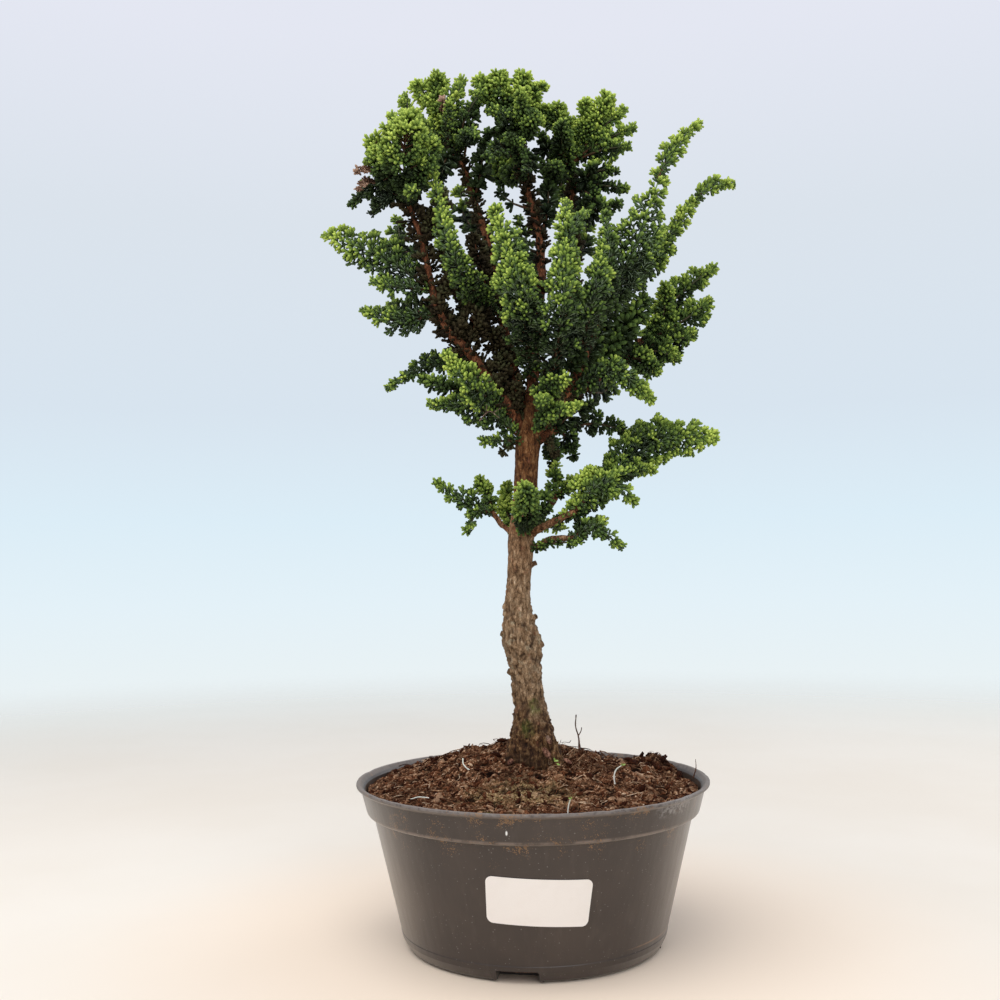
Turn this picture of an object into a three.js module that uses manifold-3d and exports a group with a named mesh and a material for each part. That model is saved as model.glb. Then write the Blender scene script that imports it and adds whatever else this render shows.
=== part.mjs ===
// A hinoki cypress bonsai in a round black nursery bowl.
// Millimetres, +Z up. The label faces -Y, and the origin is on the table under the middle of the bowl.
// Trunk, limbs and fronds are cones whose rings are laid along a curve. On a frond the rings swing in and
// out on alternate sides, which cuts it to the rib in leafy fingers all round and out to its tip. A finger
// that would meet another spray is cut short.
import * as THREE from 'three';
import { mergeVertices } from 'three/addons/utils/BufferGeometryUtils.js';
import Module from 'manifold-3d';

const wasm = await Module();
wasm.setup();

// ---------------------------------------------------------------- driving dimensions

const GAP = 0.3; // clearance between neighbouring pieces
const ROUND_STEPS = 32; // sides of the bowl

const RIM_RADIUS = 90;
const RIM_HEIGHT = 81;
const WALL = 2;
const FOOT_RADIUS = 61;
const WALL_FOOT = { radius: 67, height: 5.5 }; // where the straight wall starts
const WALL_HEAD = { radius: 81.3, height: 65.5 }; // where the collar steps out
const COLLAR_RADIUS = 84.5;
const LIP_HEIGHT = 3.6; // the flared lip above the collar

const NOTCH_COUNT = 4;
const NOTCH_TURN = -7; // degrees from the front to the first notch
const NOTCH_WIDTH = 20;
const NOTCH_HEIGHT = 6;
const NOTCH_REACH = 53; // inner end of a notch, from the middle of the bowl
const DRAIN_WIDTH = 9;
const DRAIN_DEPTH = 5;

const SOIL_EDGE_RADIUS = 84;
const SOIL_EDGE_HEIGHT = 75.5;
const SOIL_MOUND = { height: 21, x: -3, y: 22, wide: 52, deep: 46 }; // heaped behind the trunk
const SOIL_BANK = { height: 2.5, x: -50, y: 50, wide: 30, deep: 30 }; // banked against the rim, rear left
const SOIL_CLODS = { height: 8.5, x: 66, y: 34, wide: 11.8, deep: 11.8 }; // loose clods, rear right
const SOIL_FRONT_RISE = 2.8;
const SOIL_STEPS = 24;

const LABEL_WIDTH = 48;
const LABEL_HEIGHT = 22;
const LABEL_CORNER = 3;
const LABEL_THICKNESS = 0.4;
const LABEL_MIDDLE = 39; // height of its middle
const LABEL_TURN = 1.6; // degrees round the bowl, from the front
const LABEL_TILT = -3; // degrees

const FINGER_PITCH = 10.5; // from one finger to the next on the same side of a frond
const FINGER_SWEEP = 0.5; // how far forward a finger leans for each millimetre that it reaches out
const STEM_HALF = 1; // half thickness of the bare stem at a frond's root
const ROUND_FROM = 0.75; // fronds rounder than this have six sides instead of four
const SHORTEN = 0.6; // what is left of a finger each time it is cut short
const SHORTEST = 0.15;
const BEND_REACH = 0.5; // how far a finger reaches into a bend, as a share of the bend's radius

// The trunk from its buried foot to its fork: x, y, z and radius.
const TRUNK = [
  [0, 0, 62, 12],
  [0.5, 0, 80, 13],
  [1.2, 0, 90, 13.4],
  [1.1, 0, 97, 12.2],
  [0.7, 0.4, 105, 10.6],
  [0.2, 0.8, 112, 9.3],
  [-1.2, 1.2, 121, 7.9],
  [-2.2, 1.2, 131, 7.9],
  [-3.1, 0.8, 141, 8.7],
  [-4.9, 0, 151, 9.2],
  [-6.3, -0.6, 161.5, 7.8],
  [-6.5, -1, 172, 6.5],
  [-5.6, -0.8, 182, 6.2],
  [-4.6, -0.4, 193, 6.5],
  [-4, 0, 203, 6.8],
  [-2.5, 0.2, 213.5, 6.4],
  [-1.4, 0, 224, 6.2],
  [-1.2, 0, 234.5, 5.9],
  [-0.8, 0, 245, 6.1],
  [0.1, 0.6, 255.5, 6.8],
  [1.3, 1.4, 264, 6],
  [2.2, 3, 276, 3],
];

// Limbs: first and last radius, then the points from the trunk outwards.
const LIMBS = [
  { name: 'left leader', thick: 4.4, thin: 1.5, points: [
    [0, 0, 256], [-8, -2, 270], [-16, -4, 282], [-31, -9, 302], [-40, -11, 311],
    [-46, -13, 325], [-50, -14, 341], [-53, -15, 356], [-58, -15, 372], [-62, -15, 383]] },
  { name: 'mid-left leader', thick: 3.8, thin: 1.4, points: [
    [0, 3, 260], [-4, 8, 281], [-8, 12, 300], [-13, 16, 323], [-17, 18, 346],
    [-21, 20, 369], [-28, 21, 392], [-34, 22, 412], [-41, 22, 427]] },
  { name: 'middle leader', thick: 4.2, thin: 1.4, points: [
    [1, 2, 262], [3, 6, 288], [6, 10, 316], [8, 12, 341], [8, 14, 366],
    [4, 16, 384], [1, 16, 398], [-2, 17, 412], [-4, 18, 429]] },
  { name: 'mid-right leader', thick: 3.8, thin: 1.4, points: [
    [2, 3, 262], [12, 16, 290], [21, 26, 319], [26, 33, 349], [28, 38, 379],
    [27, 40, 403], [26, 40, 423]] },
  { name: 'right leader', thick: 4, thin: 2, points: [
    [2, 0, 258], [18, -4, 276], [27, -8, 291], [32, -10, 305], [37, -12, 317]] },
  { name: 'low right leader', thick: 3.4, thin: 1.5, points: [
    [3, 2, 262], [17, 8, 275], [34, 18, 287], [51, 24, 302], [63, 26, 313]] },
  { name: 'fork stub', thick: 3, thin: 1.8, points: [[1, 1, 252], [11, 3, 259], [17, 10, 263]] },
  { name: 'lowest branch', thick: 2.3, thin: 1.4, points: [[-4, 0, 198], [2, -4, 199], [11, -10, 203], [21, -16, 203]] },
  { name: 'low front branch', thick: 2.9, thin: 1.5, points: [[-3, 0, 203], [4, -5, 208], [13, -12, 212], [24, -18, 217]] },
  { name: 'low back branch', thick: 2.7, thin: 1.3, points: [
    [-3, 1, 205], [4, 4, 212], [12, 10, 222], [18, 14, 230], [34, 16, 233]] },
  { name: 'low left branch', thick: 2.4, thin: 1.2, points: [[-3, 0, 203], [-8, 3, 207], [-14, 4, 211], [-19, 6, 218]] },
  { name: 'knob', thick: 3.4, thin: 1, points: [[-1, 0, 146], [3.4, -1, 148], [6.4, -2, 149.5]] },
  { name: 'knob', thick: 3, thin: 1, points: [[-3, 0, 160], [0, -2, 162], [3.2, -3, 163.6]] },
  { name: 'knob', thick: 2.6, thin: 1, points: [[-4, 0, 188], [0, -1, 190], [3.6, -2, 191]] },
  { name: 'knob', thick: 3.4, thin: 1, points: [[-4, 0, 133], [-8.5, -2, 135], [-11.6, -3, 135.6]] },
  { name: 'knob', thick: 3.4, thin: 1, points: [[-8, 0, 152], [-12.4, -1, 154], [-15.2, -2, 155]] },
];

// Sprays, one node each: where a frond leaves its limb, a point on its way, its tip, its half width,
// and how far it is from a flat fan (0) towards a round cushion (1).
const SPRAYS = [
  { name: 'left_long', fronds: [
    [[-48, -13, 333], [-74, -8, 348], [-108, 0, 366], 15, 0.2],
    [[-48, -13, 333], [-66, -16, 334], [-80, -14, 338], 8, 0.4]] },
  { name: 'left_low', fronds: [[[-45, -12, 321], [-65, -12, 314], [-88, -8, 320], 11, 0.4]] },
  { name: 'left_droop', fronds: [[[-20, -5, 286], [-51, 4, 301], [-75, 0, 283], 8, 0.4]] },
  { name: 'left_bright', fronds: [[[-12, -3, 274], [-26, -26, 279], [-41, -34, 296], 11, 0.4]] },
  { name: 'left_lowest', fronds: [
    [[-2, -2, 255], [-24, -12, 267], [-53, -14, 270], 10, 0.35],
    [[-2, -2, 255], [-14, -10, 254], [-23, -12, 254], 6, 0.6]] },
  { name: 'dome', fronds: [
    [[-60, -15, 379], [-64, -30, 398], [-60, -24, 424], 17, 0.8],
    [[-60, -15, 379], [-53, -26, 390], [-45, -26, 407], 11, 0.7],
    [[-60, -15, 379], [-58, -30, 377], [-55, -40, 372], 8, 0.7]] },
  { name: 'dome_left', fronds: [
    [[-62, -15, 383], [-75, -20, 396], [-82, -16, 414], 10, 0.8],
    [[-62, -15, 383], [-80, -8, 394], [-94, -5, 381], 10, 0.5]] },
  { name: 'beside_leader', fronds: [[[-13, 16, 323], [-34, -26, 342], [-48, -22, 394], 10, 0.5]] },
  { name: 'top_left', fronds: [
    [[-41, 22, 427], [-56, 20, 441], [-67, 18, 459], 10, 0.7],
    [[-41, 22, 427], [-60, 22, 430], [-74, 20, 442], 9, 0.7],
    [[-41, 22, 427], [-46, 20, 450], [-52, 18, 466], 10, 0.7],
    [[-41, 22, 427], [-38, 16, 450], [-37, 14, 464], 9, 0.7]] },
  { name: 'top_left_inner', fronds: [
    [[-37, 22, 418], [-33, 12, 436], [-25, 9, 453], 8, 0.8],
    [[-37, 22, 418], [-32, 6, 422], [-28, -2, 419], 7, 0.8]] },
  { name: 'top_left_back', fronds: [[[-38, 22, 421], [-48, 34, 434], [-52, 44, 448], 9, 0.8]] },
  { name: 'top_middle', fronds: [
    [[-4, 18, 429], [-14, 16, 446], [-20, 12, 461], 11, 0.8],
    [[-4, 18, 429], [-1, 17, 450], [6, 15, 464], 11, 0.8]] },
  { name: 'top_middle_front', fronds: [
    [[-3, 17, 420], [-8, 3, 429], [-16, -6, 431], 8, 0.8],
    [[-3, 17, 420], [4, 0, 424], [2, -8, 430], 8, 0.8]] },
  { name: 'middle_front', fronds: [
    [[1, 16, 400], [-10, -2, 410], [-18, -14, 403], 9, 0.7],
    [[1, 16, 400], [3, -2, 406], [-1, -14, 395], 8, 0.7]] },
  { name: 'top_right', fronds: [
    [[26, 40, 423], [18, 32, 440], [12, 28, 452], 10, 0.8],
    [[26, 40, 423], [35, 32, 441], [42, 24, 455], 11, 0.8]] },
  { name: 'top_right_far', fronds: [
    [[26, 40, 418], [44, 29, 436], [58, 22, 445], 12, 0.8],
    [[26, 40, 418], [45, 28, 424], [57, 18, 422], 10, 0.7]] },
  { name: 'top_right_low', fronds: [
    [[27, 40, 405], [44, 33, 409], [52, 27, 411], 7, 0.7],
    [[27, 40, 405], [42, 30, 400], [55, 22, 394], 8, 0.6]] },
  { name: 'top_right_inner', fronds: [
    [[27, 40, 411], [21, 18, 418], [21, 8, 428], 9, 0.8],
    [[27, 40, 411], [17, 20, 405], [17, 8, 405], 8, 0.7]] },
  { name: 'front_plume', fronds: [[[3, 5, 286], [-2, -44, 322], [-15, -38, 370], 14, 0.35]] },
  { name: 'front_plume_right', fronds: [[[10, -2, 267], [17, -46, 318], [20, -34, 376], 12, 0.45]] },
  { name: 'front_plume_far', fronds: [[[24, -7, 286], [30, -42, 330], [35, -31, 370], 10, 0.4]] },
  { name: 'right_inner', fronds: [[[31, -10, 302], [42, -28, 332], [41, -18, 372], 9, 0.5]] },
  { name: 'right_big', fronds: [
    [[37, -12, 317], [50, -16, 348], [70, -6, 399], 15, 0.25],
    [[68, -8, 393], [76, -4, 411], [94, 0, 425], 7, 0.5]] },
  { name: 'right_second', fronds: [
    [[36, -11, 313], [68, 6, 350], [91, 1, 381], 10, 0.4],
    [[88, 2, 377], [98, 0, 386], [111.6, 0, 389], 7, 0.4]] },
  { name: 'right_third', fronds: [
    [[63, 26, 313], [85, 24, 338], [105, 16, 351], 9, 0.5],
    [[63, 26, 313], [73, 24, 326], [70, 20, 340], 7, 0.6]] },
  { name: 'right_third_low', fronds: [
    [[58, 25, 308], [88, 20, 322], [102, 14, 331], 8, 0.5],
    [[58, 25, 308], [82, 17, 311], [93, 12, 315], 7, 0.5]] },
  { name: 'right_third_droop', fronds: [
    [[51, 24, 302], [74, 17, 302], [85, 11, 295], 8, 0.5],
    [[51, 24, 302], [66, 14, 297], [72, 10, 289], 7, 0.5]] },
  { name: 'low_bright', fronds: [[[20, -5, 279], [44, -24, 286], [64, -20, 272], 10, 0.4]] },
  { name: 'cushions', fronds: [
    [[6, -1, 261], [12, -24, 280], [13, -44, 284], 9, 0.9],
    [[6, -1, 261], [15, -26, 268], [18, -44, 270], 9, 0.9]] },
  { name: 'bridge', fronds: [
    [[17, 10, 263], [39, 20, 266], [64, 20, 258], 8, 0.5],
    [[17, 10, 263], [23, 13, 257], [29, 16, 249], 7, 0.7]] },
  { name: 'right_arm', fronds: [
    [[34, 16, 233], [66, 10, 252], [102, 4, 254], 12, 0.35],
    [[34, 16, 233], [46, 8, 241], [56, 2, 240], 7, 0.6]] },
  { name: 'low_front_spray', fronds: [
    [[24, -18, 217], [38, -22, 231], [54, -16, 221], 10, 0.6],
    [[24, -18, 217], [26, -16, 229], [32, -18, 238], 7, 0.8]] },
  { name: 'low_back_spray', fronds: [
    [[15, 12, 226], [14, 13, 235], [16, 9, 245], 6, 0.8],
    [[15, 12, 226], [22, 8, 234], [31, 4, 239], 7, 0.8]] },
  { name: 'lowest_spray', fronds: [
    [[21, -16, 203], [33, -20, 208], [47, -22, 198], 8, 0.6],
    [[21, -16, 203], [28, -10, 210], [38, -8, 212], 7, 0.6]] },
  { name: 'low_left_spray', fronds: [
    [[-19, 6, 218], [-33, 4, 224], [-49, 2, 234], 8, 0.5],
    [[-19, 6, 218], [-27, 3, 218], [-32, 0, 208], 7, 0.5],
    [[-19, 6, 218], [-22, 9, 228], [-26, 8, 236], 7, 0.7]] },
  { name: 'low_cushion', fronds: [[[-2, -3, 207], [-1, -22, 214], [-1, -42, 223], 11, 0.9]] },
  { name: 'low_left_back_spray', fronds: [[[-8, 3, 207], [-12, 16, 220], [-12, 22, 234], 7, 0.7]] },
  { name: 'low_rear_spray', fronds: [
    [[0, 1, 208], [-4, 28, 214], [-10, 48, 224], 9, 0.6],
    [[0, 1, 208], [10, 28, 212], [20, 44, 210], 8, 0.6]] },
  { name: 'rear_left_high', fronds: [[[-52, -15, 350], [-66, 12, 362], [-72, 30, 386], 11, 0.5]] },
  { name: 'rear_left', fronds: [[[-46, -13, 326], [-62, 14, 328], [-78, 34, 336], 11, 0.4]] },
  { name: 'rear_left_low', fronds: [[[-30, -9, 301], [-46, 22, 304], [-60, 44, 310], 11, 0.4]] },
  { name: 'rear_mid_left', fronds: [[[-15, 17, 334], [-32, 44, 346], [-42, 58, 374], 12, 0.4]] },
  { name: 'rear_mid_left_high', fronds: [[[-22, 20, 373], [-34, 42, 388], [-38, 54, 412], 11, 0.6]] },
  { name: 'rear_middle', fronds: [[[6, 10, 314], [-4, 50, 326], [-10, 68, 356], 13, 0.4]] },
  { name: 'rear_middle_high', fronds: [[[8, 13, 356], [0, 44, 368], [-4, 60, 396], 12, 0.5]] },
  { name: 'rear_top', fronds: [[[0, 16, 404], [-10, 42, 414], [-12, 54, 438], 11, 0.7]] },
  { name: 'rear_right', fronds: [[[20, 25, 316], [32, 58, 324], [36, 76, 350], 12, 0.4]] },
  { name: 'rear_right_high', fronds: [[[27, 36, 366], [34, 62, 376], [38, 70, 402], 12, 0.5]] },
  { name: 'rear_right_top', fronds: [[[27, 40, 396], [22, 58, 412], [24, 66, 436], 10, 0.7]] },
  { name: 'rear_right_low', fronds: [[[30, 16, 284], [44, 46, 288], [56, 66, 304], 11, 0.4]] },
  { name: 'rear_right_side', fronds: [[[47, 23, 298], [66, 48, 308], [84, 56, 330], 11, 0.4]] },
  { name: 'rear_low_left', fronds: [[[-4, 8, 281], [-22, 36, 278], [-34, 56, 290], 11, 0.4]] },
  { name: 'rear_low', fronds: [[[3, 6, 270], [6, 40, 264], [14, 60, 274], 11, 0.4]] },
  { name: 'old_left', old: true, fronds: [[[-54, -15, 358], [-47, -12, 369], [-43, -8, 387], 9, 0.8]] },
];

const COLOURS = {
  bark: { color: 0x6e4c39, roughness: 0.92 },
  leaf: { color: 0x3d6b26, roughness: 0.6 },
  old_leaf: { color: 0x5a4d2b, roughness: 0.8 },
  soil: { color: 0x43291c, roughness: 1 },
  bowl: { color: 0x37373a, roughness: 0.55 },
  label: { color: 0xf3ece4, roughness: 0.7 },
};

// ---------------------------------------------------------------- helpers

const degrees = THREE.MathUtils.degToRad;

// A small repeatable source of random numbers from 0 to 1.
function randomFrom(seed) {
  let state = seed;
  return () => {
    state = (state + 0x6d2b79f5) | 0;
    let mixed = Math.imul(state ^ (state >>> 15), 1 | state);
    mixed = (mixed + Math.imul(mixed ^ (mixed >>> 7), 61 | mixed)) ^ mixed;
    return ((mixed ^ (mixed >>> 14)) >>> 0) / 4294967296;
  };
}

function toSolid(geometry) {
  geometry.deleteAttribute('normal');
  geometry.deleteAttribute('uv');
  const merged = mergeVertices(geometry);
  const mesh = new wasm.Mesh({
    numProp: 3,
    vertProperties: Float32Array.from(merged.attributes.position.array),
    triVerts: Uint32Array.from(merged.index.array),
  });
  return new wasm.Manifold(mesh);
}

function toGeometry(solid) {
  const mesh = solid.getMesh();
  const geometry = new THREE.BufferGeometry();
  geometry.setAttribute('position', new THREE.BufferAttribute(mesh.vertProperties, 3));
  geometry.setIndex(new THREE.BufferAttribute(mesh.triVerts, 1));
  geometry.computeVertexNormals();
  return geometry;
}

function largestBody(solid) {
  const bodies = solid.decompose();
  bodies.sort((a, b) => b.volume() - a.volume());
  return bodies[0];
}

const curveThrough = (points) => new THREE.CatmullRomCurve3(points.map((p) => new THREE.Vector3(...p)));

// Lays a cone along a curve, with a ring at each station from 0 at the root to 1 at the tip.
// shape(ring, step) gives the half width and half depth at one corner of a ring, and how far ahead of
// the ring that corner lies. pad makes the whole thing larger all round.
function grow({ curve, facing, sides, stations, shape, pad = 0 }) {
  const rings = stations.length - 1;
  const cone = new THREE.ConeGeometry(1, 1, sides, rings);
  const position = cone.attributes.position;
  const sector = (2 * Math.PI) / sides;
  for (let i = 0; i < position.count; i += 1) {
    const ring = Math.round((0.5 + position.getY(i)) * rings);
    const tangent = curve.getTangent(stations[ring]);
    const point = curve.getPoint(stations[ring]);
    if (ring === 0) point.addScaledVector(tangent, -pad);
    if (ring === rings) point.addScaledVector(tangent, 2 * pad);
    if (Math.hypot(position.getX(i), position.getZ(i)) > 1e-6) {
      const across = new THREE.Vector3().crossVectors(tangent, facing).normalize();
      const out = new THREE.Vector3().crossVectors(across, tangent);
      const step = Math.round(Math.atan2(position.getX(i), position.getZ(i)) / sector + sides) % sides;
      const { width, depth, ahead = 0 } = shape(ring, step);
      point.addScaledVector(across, Math.sin(step * sector) * (width + pad));
      point.addScaledVector(out, Math.cos(step * sector) * (depth + pad));
      point.addScaledVector(tangent, ahead);
    }
    position.setXYZ(i, point.x, point.y, point.z);
  }
  return toSolid(cone);
}

const evenStations = (count) => Array.from({ length: count + 1 }, (_, i) => i / count);

function boxSolid(size, centre, turn = 0) {
  const box = new THREE.BoxGeometry(...size);
  box.translate(...centre);
  box.rotateZ(turn);
  return toSolid(box);
}

const turned = (profile) => toSolid(
  new THREE.LatheGeometry(profile.map(([r, z]) => new THREE.Vector2(r, z)), ROUND_STEPS).rotateX(Math.PI / 2),
);

// ---------------------------------------------------------------- bowl

const COLLAR_TOP = RIM_HEIGHT - LIP_HEIGHT;

const BOWL_OUTSIDE = [
  [0, 0],
  [FOOT_RADIUS, 0],
  [FOOT_RADIUS + 3.6, 1.2],
  [WALL_FOOT.radius, WALL_FOOT.height],
  [WALL_HEAD.radius, WALL_HEAD.height],
  [COLLAR_RADIUS, WALL_HEAD.height + 1],
  [RIM_RADIUS - 2.3, COLLAR_TOP + 1],
  [RIM_RADIUS, RIM_HEIGHT - 1.3],
  [RIM_RADIUS, RIM_HEIGHT - 0.6],
  [RIM_RADIUS - 0.9, RIM_HEIGHT],
  [0, RIM_HEIGHT],
];

const BOWL_INSIDE = [
  [0, WALL + 1],
  [FOOT_RADIUS - 1, WALL + 1],
  [WALL_FOOT.radius - WALL - 0.6, WALL_FOOT.height + 1],
  [WALL_HEAD.radius - WALL, WALL_HEAD.height + 0.5],
  [COLLAR_RADIUS - WALL + 0.6, WALL_HEAD.height + 2.2],
  [RIM_RADIUS - 2.6 - WALL, COLLAR_TOP + 0.6],
  [RIM_RADIUS - 0.9 - WALL, RIM_HEIGHT],
  [RIM_RADIUS - 0.9 - WALL, RIM_HEIGHT + 2],
  [0, RIM_HEIGHT + 2],
];

const notchTurns = Array.from(
  { length: NOTCH_COUNT },
  (_, i) => degrees(NOTCH_TURN + (360 / NOTCH_COUNT) * i),
);

// The moulded housing round each notch, which stands up inside the floor of the bowl.
function housings(pad) {
  const reach = NOTCH_REACH - WALL - pad;
  const height = NOTCH_HEIGHT + WALL + pad;
  const size = [NOTCH_WIDTH + 2 * (WALL + pad), RIM_RADIUS - reach, height];
  const centre = [0, -(RIM_RADIUS + reach) / 2, height / 2];
  return wasm.Manifold.union(notchTurns.map((turn) => boxSolid(size, centre, turn)));
}

function bowl() {
  const outside = turned(BOWL_OUTSIDE);
  const shell = outside.subtract(turned(BOWL_INSIDE));
  const depth = RIM_RADIUS - NOTCH_REACH;
  const pocketSize = [NOTCH_WIDTH, depth, 2 * NOTCH_HEIGHT];
  const drainSize = [DRAIN_WIDTH, DRAIN_DEPTH, 4 * NOTCH_HEIGHT];
  const cuts = notchTurns.flatMap((turn) => [
    boxSolid(pocketSize, [0, -NOTCH_REACH - depth / 2, 0], turn),
    boxSolid(drainSize, [0, -NOTCH_REACH - DRAIN_DEPTH / 2 - WALL, 0], turn),
  ]);
  return shell.add(housings(0).intersect(outside)).subtract(wasm.Manifold.union(cuts));
}

// ---------------------------------------------------------------- trunk and limbs

const TRUNK_FACING = new THREE.Vector3(0, -1, 0.15);

const TRUNK_SIDES = 10;

// The trunk isn't round: shallow flutes run up it, and they spread into roots at the soil.
function trunkShape(ring, step) {
  const [, , height, radius] = TRUNK[ring];
  const angle = (step * 2 * Math.PI) / TRUNK_SIDES;
  const flutes = 0.06 * Math.sin(3 * angle + height / 17) + 0.04 * Math.sin(2 * angle - height / 11);
  const roots = height < 100 ? 0.09 * Math.cos(5 * angle) : 0;
  const girth = radius * (1 + flutes + roots);
  return { width: girth, depth: girth };
}

function trunkParts(pad) {
  const stem = grow({
    curve: curveThrough(TRUNK.map(([x, y, z]) => [x, y, z])),
    facing: TRUNK_FACING,
    sides: TRUNK_SIDES,
    stations: evenStations(TRUNK.length - 1),
    shape: trunkShape,
    pad,
  });
  const limbs = LIMBS.map(({ thick, thin, points }) => grow({
    curve: curveThrough(points),
    facing: TRUNK_FACING,
    sides: 5,
    stations: evenStations(points.length - 1),
    shape: (ring) => {
      const girth = THREE.MathUtils.lerp(thick, thin, Math.sqrt(ring / (points.length - 1)));
      return { width: girth, depth: girth };
    },
    pad,
  }));
  return wasm.Manifold.union([stem, ...limbs]);
}

// ---------------------------------------------------------------- soil

function heapHeight(heap, x, y) {
  return heap.height * Math.exp(-(((x - heap.x) / heap.wide) ** 2) - ((y - heap.y) / heap.deep) ** 2);
}

function soilHeight(x, y) {
  const heaps = [SOIL_MOUND, SOIL_BANK, SOIL_CLODS].reduce((sum, heap) => sum + heapHeight(heap, x, y), 0);
  const front = (-SOIL_FRONT_RISE * y) / SOIL_EDGE_RADIUS;
  const lumps = 0.8 * Math.sin(x / 6.1 + 1.3) * Math.cos(y / 5.3) + 0.6 * Math.sin((x + y) / 3.7);
  return SOIL_EDGE_HEIGHT + heaps + front + lumps;
}

function soil(trunkWithGap) {
  const floor = WALL + 1 + GAP;
  const side = [
    [FOOT_RADIUS - 1.2, floor],
    [WALL_FOOT.radius - WALL - 1.1, WALL_FOOT.height + 1.2],
    [WALL_HEAD.radius - WALL - 0.4, WALL_HEAD.height + 0.6],
    [COLLAR_RADIUS - WALL + 0.2, WALL_HEAD.height + 2.3],
    [SOIL_EDGE_RADIUS, SOIL_EDGE_HEIGHT],
  ];
  const rings = [76, 66, 54, 42, 30, 18];
  const profile = [[0, floor], ...side, ...rings.map((r) => [r, RIM_HEIGHT]), [0, RIM_HEIGHT]];
  const points = profile.map(([r, z]) => new THREE.Vector2(r, z));
  const lathe = new THREE.LatheGeometry(points, SOIL_STEPS).rotateX(Math.PI / 2);
  const position = lathe.attributes.position;
  for (let i = 0; i < position.count; i += 1) {
    if (position.getZ(i) >= SOIL_EDGE_HEIGHT) {
      position.setZ(i, soilHeight(position.getX(i), position.getY(i)));
    }
  }
  return toSolid(lathe).subtract(housings(GAP)).subtract(trunkWithGap);
}

// ---------------------------------------------------------------- label

function wallRadius(height) {
  const share = (height - WALL_FOOT.height) / (WALL_HEAD.height - WALL_FOOT.height);
  return THREE.MathUtils.lerp(WALL_FOOT.radius, WALL_HEAD.radius, share);
}

// A thin plate with round corners, laid on the wall of the bowl.
function label() {
  const columns = [1, 0.984, 0.94, 0.875, 0.66, 0.44, 0.22, 0];
  const places = [...columns.map((c) => -c), ...columns.slice(0, -1).reverse()];
  const plate = new THREE.BoxGeometry(2, 2, 1, places.length - 1, 1, 1);
  const position = plate.attributes.position;
  const straight = LABEL_WIDTH / 2 - LABEL_CORNER;
  for (let i = 0; i < position.count; i += 1) {
    const column = Math.round(((position.getX(i) + 1) / 2) * (places.length - 1));
    const x = (places[column] * LABEL_WIDTH) / 2;
    const past = Math.max(0, Math.abs(x) - straight);
    const drop = LABEL_CORNER - Math.sqrt(Math.max(0, LABEL_CORNER ** 2 - past ** 2));
    const y = position.getY(i) * (LABEL_HEIGHT / 2 - drop);
    const tilt = degrees(LABEL_TILT);
    const height = LABEL_MIDDLE + x * Math.sin(tilt) + y * Math.cos(tilt);
    const outward = wallRadius(height) + GAP + (position.getZ(i) > 0 ? LABEL_THICKNESS : 0);
    const turn = degrees(LABEL_TURN) + (x * Math.cos(tilt) - y * Math.sin(tilt)) / wallRadius(LABEL_MIDDLE);
    position.setXYZ(i, outward * Math.sin(turn), -outward * Math.cos(turn), height);
  }
  return toSolid(plate);
}

// ---------------------------------------------------------------- sprays

// A frond fans out from a narrow root and closes in a rounded tip.
function fan(along) {
  return (0.35 + 0.65 * THREE.MathUtils.smoothstep(along, 0, 0.45)) * Math.sqrt(1 - 0.75 * along ** 4);
}

const FINGER_RINGS = [0, 0.14, 0.5, 0.64]; // the four rings in each pitch
const FINGERS_FROM = 0.2; // where the fingers start along a frond
const FINGERS_TO = 0.95;

// A frond and its fingers. On one half of its sides the fingers stand on the second and third ring of each
// pitch, and on the other half on the fourth ring and the first of the next pitch.
function makeFrond([root, way, tip, half, puff], random) {
  const curve = curveThrough([root, way, tip]);
  const outwards = new THREE.Vector3(0.35 * Math.sign(tip[0]), tip[1] < 8 ? -1 : 1, 0.35);
  const direction = curve.getTangent(0.5);
  const facing = outwards.addScaledVector(direction, -outwards.dot(direction)).normalize();
  const pitches = Math.max(2, Math.round((curve.getLength() * (FINGERS_TO - FINGERS_FROM)) / FINGER_PITCH));
  const sides = puff > ROUND_FROM ? 6 : 4;
  const stations = [0];
  for (let pitch = 0; pitch < pitches; pitch += 1) {
    for (const ring of FINGER_RINGS) {
      stations.push(THREE.MathUtils.lerp(FINGERS_FROM, FINGERS_TO, (pitch + ring) / pitches));
    }
  }
  stations.push(FINGERS_TO, 1);
  const fingers = [];
  for (let pitch = 0; pitch < pitches; pitch += 1) {
    for (let step = 0; step < sides; step += 1) fingers.push({ pitch, step, size: 0.8 + 0.35 * random() });
  }
  return { curve, facing, half, puff, sides, stations, fingers };
}

const isEarly = ({ sides }, step) => (sides === 4 ? step < 2 : step % 2 === 0);

// The finger that stands on one corner of a ring, or nothing where the ring swings in to the rib.
function fingerAt(frond, ring, step) {
  const pitch = Math.floor((ring - 1) / 4);
  const place = (ring - 1) % 4;
  const early = isEarly(frond, step);
  const stands = early ? place === 1 || place === 2 : place === 3 || place === 0;
  const owner = !early && place === 0 ? pitch - 1 : pitch;
  return stands ? frond.fingers.find((finger) => finger.pitch === owner && finger.step === step) : undefined;
}

// How tightly a curve bends towards a direction, as one over the radius in millimetres.
function bendTowards(curve, along, direction) {
  const [before, after] = [Math.max(0, along - 0.08), Math.min(1, along + 0.08)];
  const turn = curve.getTangent(after).sub(curve.getTangent(before));
  return Math.max(0, turn.dot(direction)) / curve.getPoint(after).distanceTo(curve.getPoint(before));
}

function sideOf({ curve, facing, sides }, along, step) {
  const tangent = curve.getTangent(along);
  const across = new THREE.Vector3().crossVectors(tangent, facing).normalize();
  const out = new THREE.Vector3().crossVectors(across, tangent);
  const angle = (step * 2 * Math.PI) / sides;
  return across.multiplyScalar(Math.sin(angle)).addScaledVector(out, Math.cos(angle));
}

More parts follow.
